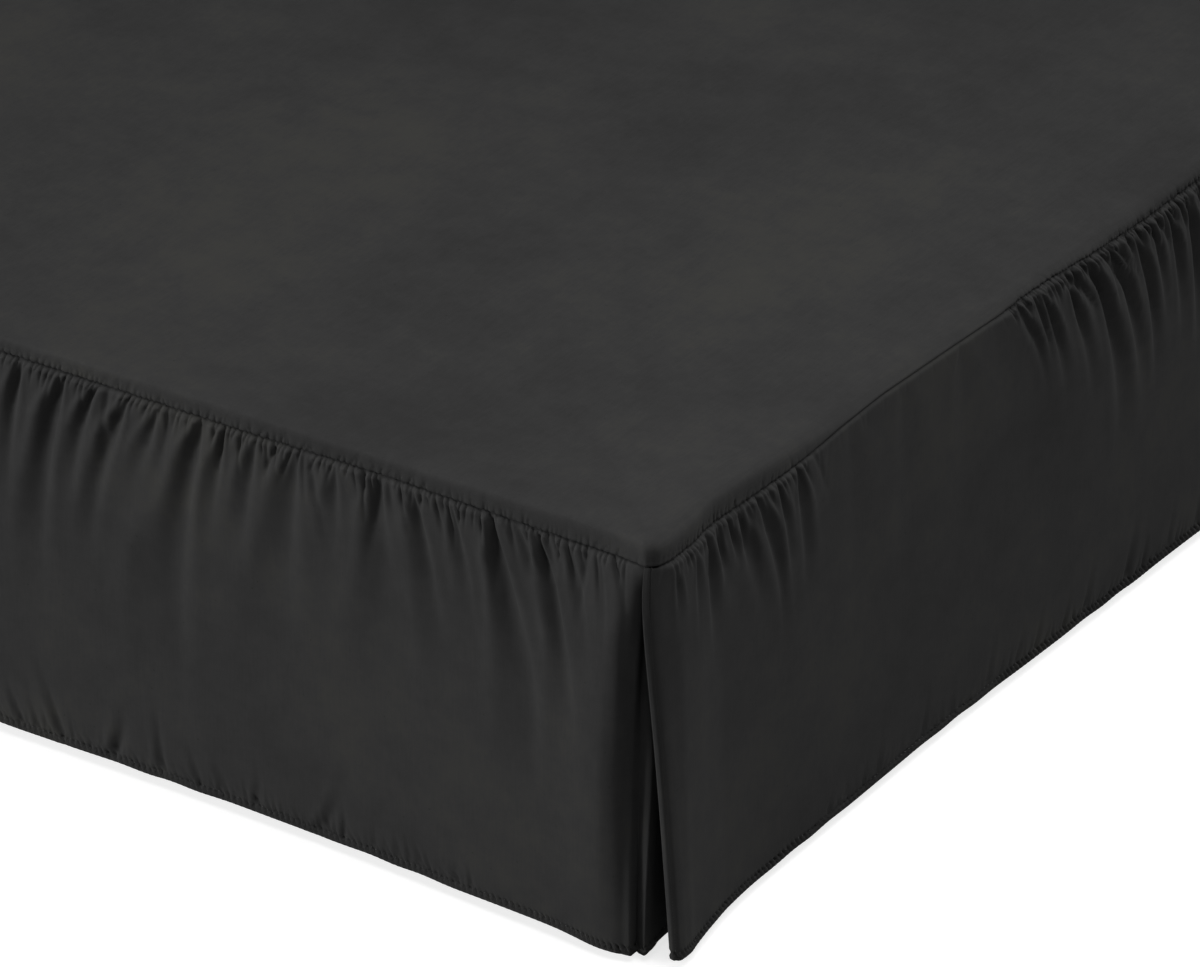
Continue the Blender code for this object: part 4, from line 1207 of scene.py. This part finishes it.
def upholstery(name, colour):
    """Woven polyester upholstery: plain weave with uneven yarns, quite matt."""
    material, tree, shader = new_material(name)
    place = add_node(tree, "ShaderNodeTexCoord").outputs["Object"]
    weave = None
    # Yarns 1.2 mm wide with slubs about 12 mm long, running each way over every face.
    for scale in ((850.0, 80.0, 850.0), (80.0, 850.0, 850.0), (850.0, 850.0, 80.0)):
        stretched = add_node(tree, "ShaderNodeMapping", {"Vector": place, "Scale": scale})
        inputs = {"Vector": stretched.outputs["Vector"], "Scale": 1.0, "Detail": 1.5}
        yarn = add_node(tree, "ShaderNodeTexNoise", inputs).outputs["Fac"]
        if weave is None:
            weave = yarn
        else:
            weave = add_node(tree, "ShaderNodeMath", {0: weave, 1: yarn}, operation="MAXIMUM").outputs[0]
    shade = add_node(tree, "ShaderNodeMapRange", {"Value": weave, "From Min": 0.45, "From Max": 0.75})
    inputs = {"Factor": shade.outputs["Result"], "A": toned(colour, 0.62), "B": toned(colour, 1.25)}
    tone = add_node(tree, "ShaderNodeMix", inputs, data_type="RGBA")
    raised = add_node(tree, "ShaderNodeBump", {"Height": weave, "Strength": 0.6, "Distance": 0.0008})
    connect(tree, shader, {
        "Base Color": tone.outputs["Result"],
        "Normal": raised.outputs["Normal"],
        "Roughness": 0.9,
        "Specular IOR Level": 0.25,
        "Sheen Weight": 0.1,
    })
    return material


def stained_beech(name, colour):
    """Beech turned, stained dark and varnished: fine straight grain and short dark flecks, low gloss."""
    material, tree, shader = new_material(name)
    place = add_node(tree, "ShaderNodeTexCoord").outputs["Object"]
    # Grain lines about 2 mm apart and 60 mm long, up the leg.
    along = add_node(tree, "ShaderNodeMapping", {"Vector": place, "Scale": (420.0, 420.0, 16.0)})
    inputs = {"Vector": along.outputs["Vector"], "Scale": 1.0, "Detail": 3.0, "Distortion": 0.4}
    grain = add_node(tree, "ShaderNodeTexNoise", inputs).outputs["Fac"]
    # Ray flecks 0.5 mm wide and 3 mm long.
    rays = add_node(tree, "ShaderNodeMapping", {"Vector": place, "Scale": (1500.0, 1500.0, 320.0)})
    fleck = add_node(tree, "ShaderNodeTexVoronoi", {"Vector": rays.outputs["Vector"], "Scale": 1.0})
    flecks = fleck.outputs["Distance"]
    inputs = {"Value": flecks, "From Min": 0.10, "From Max": 0.30, "To Min": 0.45, "To Max": 0.0}
    dark = add_node(tree, "ShaderNodeMapRange", inputs)
    shade = add_node(tree, "ShaderNodeMapRange", {"Value": grain, "From Min": 0.30, "From Max": 0.70})
    inputs = {"Factor": shade.outputs["Result"], "A": toned(colour, 0.55), "B": toned(colour, 1.5)}
    tone = add_node(tree, "ShaderNodeMix", inputs, data_type="RGBA")
    inputs = {"Factor": dark.outputs["Result"], "A": tone.outputs["Result"], "B": toned(colour, 0.4)}
    flecked = add_node(tree, "ShaderNodeMix", inputs, data_type="RGBA")
    raised = add_node(tree, "ShaderNodeBump", {"Height": grain, "Strength": 0.25, "Distance": 0.0004})
    connect(tree, shader, {
        "Base Color": flecked.outputs["Result"],
        "Normal": raised.outputs["Normal"],
        "Roughness": 0.42,
        "Coat Weight": 0.25,
        "Coat Roughness": 0.25,
    })
    return material


def studio_floor(name, colour):
    """Painted studio floor: smooth and matt, nearly white to the camera but greyer in what it sends back."""
    material, tree, shader = new_material(name)
    place = add_node(tree, "ShaderNodeTexCoord").outputs["Object"]
    roller = add_node(tree, "ShaderNodeTexNoise", {"Vector": place, "Scale": 60.0, "Detail": 2.0})
    ray = add_node(tree, "ShaderNodeLightPath").outputs["Is Camera Ray"]
    inputs = {"Factor": roller.outputs["Fac"], "A": toned(colour, 0.98), "B": toned(colour)}
    painted = add_node(tree, "ShaderNodeMix", inputs, data_type="RGBA")
    inputs = {"Factor": ray, "A": (0.42, 0.42, 0.42, 1.0), "B": painted.outputs["Result"]}
    seen = add_node(tree, "ShaderNodeMix", inputs, data_type="RGBA")
    glow = add_node(tree, "ShaderNodeMath", {0: ray, 1: 0.74}, operation="MULTIPLY")
    connect(tree, shader, {
        "Base Color": seen.outputs["Result"],
        "Emission Strength": glow.outputs[0],
        "Emission Color": (1.0, 1.0, 1.0, 1.0),
        "Roughness": 0.8,
        "Specular IOR Level": 0.2,
    })
    return material


def a_length(name, description, default, least, most):
    return FloatProperty(
        name=name, description=description, default=default, min=least, max=most, unit="LENGTH", precision=4,
    )


def a_colour(name, description, code):
    return FloatVectorProperty(
        name=name, description=description, subtype="COLOR", default=linear(code), min=0, max=1,
    )


class SkirtSizes(bpy.types.PropertyGroup):
    """Sizes of the cloth and its sewing."""

    cloth: a_length("Cloth thickness", "Thickness of a single layer of cloth", 0.0011, 0.0004, 0.003)
    folded: a_length("Hem thickness", "Thickness where the cloth is turned over", 0.0020, 0.0005, 0.006)
    hem: a_length("Hem height", "Height of the turned hems", 0.0105, 0.004, 0.05)
    stitch_line: a_length("Stitch line", "Distance of the hem stitching from the edge", 0.0078, 0.002, 0.04)
    stitch: a_length("Stitch length", "Distance from one stitch to the next", 0.0032, 0.0015, 0.01)
    gather: a_length("Gather pitch", "Usual distance between small gathers", 0.0050, 0.003, 0.03)
    crease: a_length("Seam crease", "How far the cloth turns in at the seam", 0.0036, 0.0, 0.006)
    seed: IntProperty(
        name="Gather pattern", description="Chooses the small gathers and puckers", default=7, min=0, max=999,
    )


class SkirtFinish(bpy.types.PropertyGroup):
    """Colours of the bed skirt, its base and the studio."""

    cloth_dark: a_colour("Cloth, dark", "Darker tone of the brushed cloth", "#2B2B2B")
    cloth_light: a_colour("Cloth, light", "Lighter tone of the brushed cloth", "#353535")
    lint: a_colour("Lint", "Tone of the tiny flecks on the cloth", "#1A1A1A")
    nap: a_colour("Nap, warm", "Warm tone of the cloth where the nap catches the light", "#36352F")
    upholstery: a_colour("Upholstery", "Colour of the cover of the bed base", "#8A8883")
    wood: a_colour("Leg stain", "Colour of the stained legs", "#2A211C")
    floor: a_colour("Floor", "Colour of the studio floor", "#B4B4B4")


def settings(context):
    return context.scene.bedskirt_sizes, context.scene.bedskirt_finish


def cloth_material(finish, flat_cloth):
    name = "charcoal brushed microfibre, hanging" if flat_cloth else "charcoal brushed microfibre, laid"
    return bpy.data.materials.get(name) or microfibre(name, finish, flat_cloth)


def thread_material(finish):
    name = "charcoal sewing thread"
    return bpy.data.materials.get(name) or thread(name, finish.cloth_dark)


class BEDSKIRT_OT_deck(bpy.types.Operator):
    """Make the deck panel that lies on the bed base"""

    bl_idname = "bedskirt.deck"
    bl_label = "Deck panel"

    def execute(self, context):
        sizes, finish = settings(context)
        deck = deck_sheet("deck_panel_cloth", cloth_material(finish, False), sizes)
        hem = deck_stitches("deck_panel_stitches", thread_material(finish), sizes)
        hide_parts("deck_panel")
        for piece in (deck, hem):
            finish_piece(piece)
        return {"FINISHED"}


class BEDSKIRT_OT_foot_drop(bpy.types.Operator):
    """Make the gathered drop across the foot, with its underlaps and stitched hem"""

    bl_idname = "bedskirt.foot_drop"
    bl_label = "Foot drop"

    def execute(self, context):
        sizes, finish = settings(context)
        shape = foot_drop_shape(sizes.seed, sizes)
        drop = drop_sheet("foot_drop_cloth", shape, on_foot, True, cloth_material(finish, True), sizes)
        hem = drop_stitches("foot_drop_stitches", shape, on_foot, thread_material(finish), sizes)
        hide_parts("foot_drop")
        for piece in (drop, hem):
            finish_piece(piece)
        return {"FINISHED"}


class BEDSKIRT_OT_side_drops(bpy.types.Operator):
    """Make the two gathered drops along the long sides, with their stitched hems"""

    bl_idname = "bedskirt.side_drops"
    bl_label = "Side drops"

    def execute(self, context):
        sizes, finish = settings(context)
        for node, side in (("side_drop_right", 1), ("side_drop_left", -1)):
            shape = side_drop_shape(sizes.seed + SIDE_SEEDS[side], sizes)
            place = functools.partial(on_side, side=side)
            drop = drop_sheet(f"{node}_cloth", shape, place, side < 0, cloth_material(finish, True), sizes)
            hem = drop_stitches(f"{node}_stitches", shape, place, thread_material(finish), sizes)
            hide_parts(node)
            for piece in (drop, hem):
                finish_piece(piece)
        return {"FINISHED"}


class BEDSKIRT_OT_bed_base(bpy.types.Operator):
    """Finish the bed base and its legs"""

    bl_idname = "bedskirt.bed_base"
    bl_label = "Bed base and legs"

    def execute(self, context):
        finish = settings(context)[1]
        cover = upholstery("grey woven polyester upholstery", finish.upholstery)
        wood = stained_beech("dark stained beech, turned", finish.wood)
        for name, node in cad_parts.items():
            if name == "bed_base":
                node.material_slots[0].material = cover
            elif name.startswith("leg_"):
                node.material_slots[0].material = wood
        return {"FINISHED"}


# The camera stands back with a long lens. CORNER_PIXEL is how far the seam's corner stands to the right of
# the middle of the view and below it, and FOCAL_PIXELS is the lens in the same pixels.
CAMERA_AZIMUTH = 34.54
CAMERA_ELEVATION = 28.18
CAMERA_DISTANCE = 7.26
FOCAL_PIXELS = 8149
IMAGE_WIDTH = 1200
CORNER_PIXEL = (49.1, 79.9)
SENSOR = 36.0

# Softboxes. Columns: name, place, where it points, width and height, and power.
SOFTBOXES = (
    ("overhead softbox", (1.2, -0.9, 3.7), (0.5, -0.4, 0.2), (2.8, 2.8), 119.0),
    ("left softbox", (-7.6, -7.4, 2.4), (0.1, -0.9, 0.25), (2.2, 2.2), 1000.0),
    ("right softbox", (5.0, 7.3, 3.4), (0.78, 0.1, 0.25), (1.8, 1.8), 352.0),
)
FLOOR_SIZE = 60.0


def studio_camera():
    azimuth, elevation = math.radians(CAMERA_AZIMUTH), math.radians(CAMERA_ELEVATION)
    ground = math.cos(elevation)
    back = Vector((math.sin(azimuth) * ground, -math.cos(azimuth) * ground, math.sin(elevation)))
    right = Vector((math.cos(azimuth), math.sin(azimuth), 0.0))
    up = back.cross(right)
    corner = Vector((CORNER_X, CORNER_Y, SEAM_HEIGHT))
    metres = CAMERA_DISTANCE / FOCAL_PIXELS
    data = bpy.data.cameras.new("studio camera")
    data.sensor_width = SENSOR
    data.lens = SENSOR * FOCAL_PIXELS / IMAGE_WIDTH
    data.clip_start, data.clip_end = 0.1, 100.0
    camera = bpy.data.objects.new("studio camera", data)
    camera.matrix_world = Matrix.Translation(
        corner - CORNER_PIXEL[0] * metres * right + CORNER_PIXEL[1] * metres * up + CAMERA_DISTANCE * back
    ) @ Matrix((right, up, back)).transposed().to_4x4()
    bpy.context.scene.collection.objects.link(camera)
    bpy.context.scene.camera = camera


def area_light(name, place, target, size, power):
    data = bpy.data.lights.new(name, "AREA")
    data.shape = "RECTANGLE"
    data.size, data.size_y = size
    data.energy = power
    light = bpy.data.objects.new(name, data)
    light.location = place
    light.rotation_mode = "QUATERNION"
    light.rotation_quaternion = (Vector(target) - Vector(place)).to_track_quat("-Z", "Y")
    bpy.context.scene.collection.objects.link(light)


class BEDSKIRT_OT_studio(bpy.types.Operator):
    """Make the floor, the lights, the surroundings and the camera"""

    bl_idname = "bedskirt.studio"
    bl_label = "Studio"

    def execute(self, context):
        finish = settings(context)[1]
        clear_selection()
        bpy.ops.mesh.primitive_grid_add(x_subdivisions=8, y_subdivisions=8, size=FLOOR_SIZE)
        floor = context.object
        floor.name = "studio_floor"
        floor.data.materials.append(studio_floor("matt painted studio floor", finish.floor))
        clear_selection()
        for softbox in SOFTBOXES:
            area_light(*softbox)
        world = bpy.data.worlds.new("pale surroundings")
        context.scene.world = world
        world.use_nodes = True
        tree = world.node_tree
        tree.nodes.clear()
        seen = add_node(tree, "ShaderNodeBackground", {"Color": (0.86, 0.86, 0.86, 1.0), "Strength": 1.0})
        lit = add_node(tree, "ShaderNodeBackground", {"Color": (1.0, 1.0, 1.0, 1.0), "Strength": 0.04})
        ray = add_node(tree, "ShaderNodeLightPath")
        inputs = {0: ray.outputs["Is Camera Ray"], 1: lit.outputs[0], 2: seen.outputs[0]}
        mixed = add_node(tree, "ShaderNodeMixShader", inputs)
        add_node(tree, "ShaderNodeOutputWorld", {"Surface": mixed.outputs[0]})
        context.scene.view_settings.view_transform = "Standard"
        studio_camera()
        return {"FINISHED"}


OPERATORS = (
    BEDSKIRT_OT_deck, BEDSKIRT_OT_foot_drop, BEDSKIRT_OT_side_drops, BEDSKIRT_OT_bed_base, BEDSKIRT_OT_studio,
)


class BEDSKIRT_PT_panel(bpy.types.Panel):
    """Sizes, colours and pieces of the bed skirt"""

    bl_idname = "BEDSKIRT_PT_panel"
    bl_label = "Gathered bed skirt"
    bl_space_type = "VIEW_3D"
    bl_region_type = "UI"
    bl_category = "Bed Skirt"

    def draw(self, context):
        for group in settings(context):
            column = self.layout.column(align=True)
            for name in group.__annotations__:
                column.prop(group, name)
        for operator in OPERATORS:
            self.layout.operator(operator.bl_idname)


CLASSES = (SkirtSizes, SkirtFinish, *OPERATORS, BEDSKIRT_PT_panel)


def register():
    for item in CLASSES:
        bpy.utils.register_class(item)
    bpy.types.Scene.bedskirt_sizes = PointerProperty(type=SkirtSizes)
    bpy.types.Scene.bedskirt_finish = PointerProperty(type=SkirtFinish)


def unregister():
    del bpy.types.Scene.bedskirt_finish
    del bpy.types.Scene.bedskirt_sizes
    for item in reversed(CLASSES):
        bpy.utils.unregister_class(item)


def main():
    register()
    for operator in OPERATORS:
        group, name = operator.bl_idname.split(".")
        getattr(getattr(bpy.ops, group), name)()


if __name__ == "__main__":
    main()
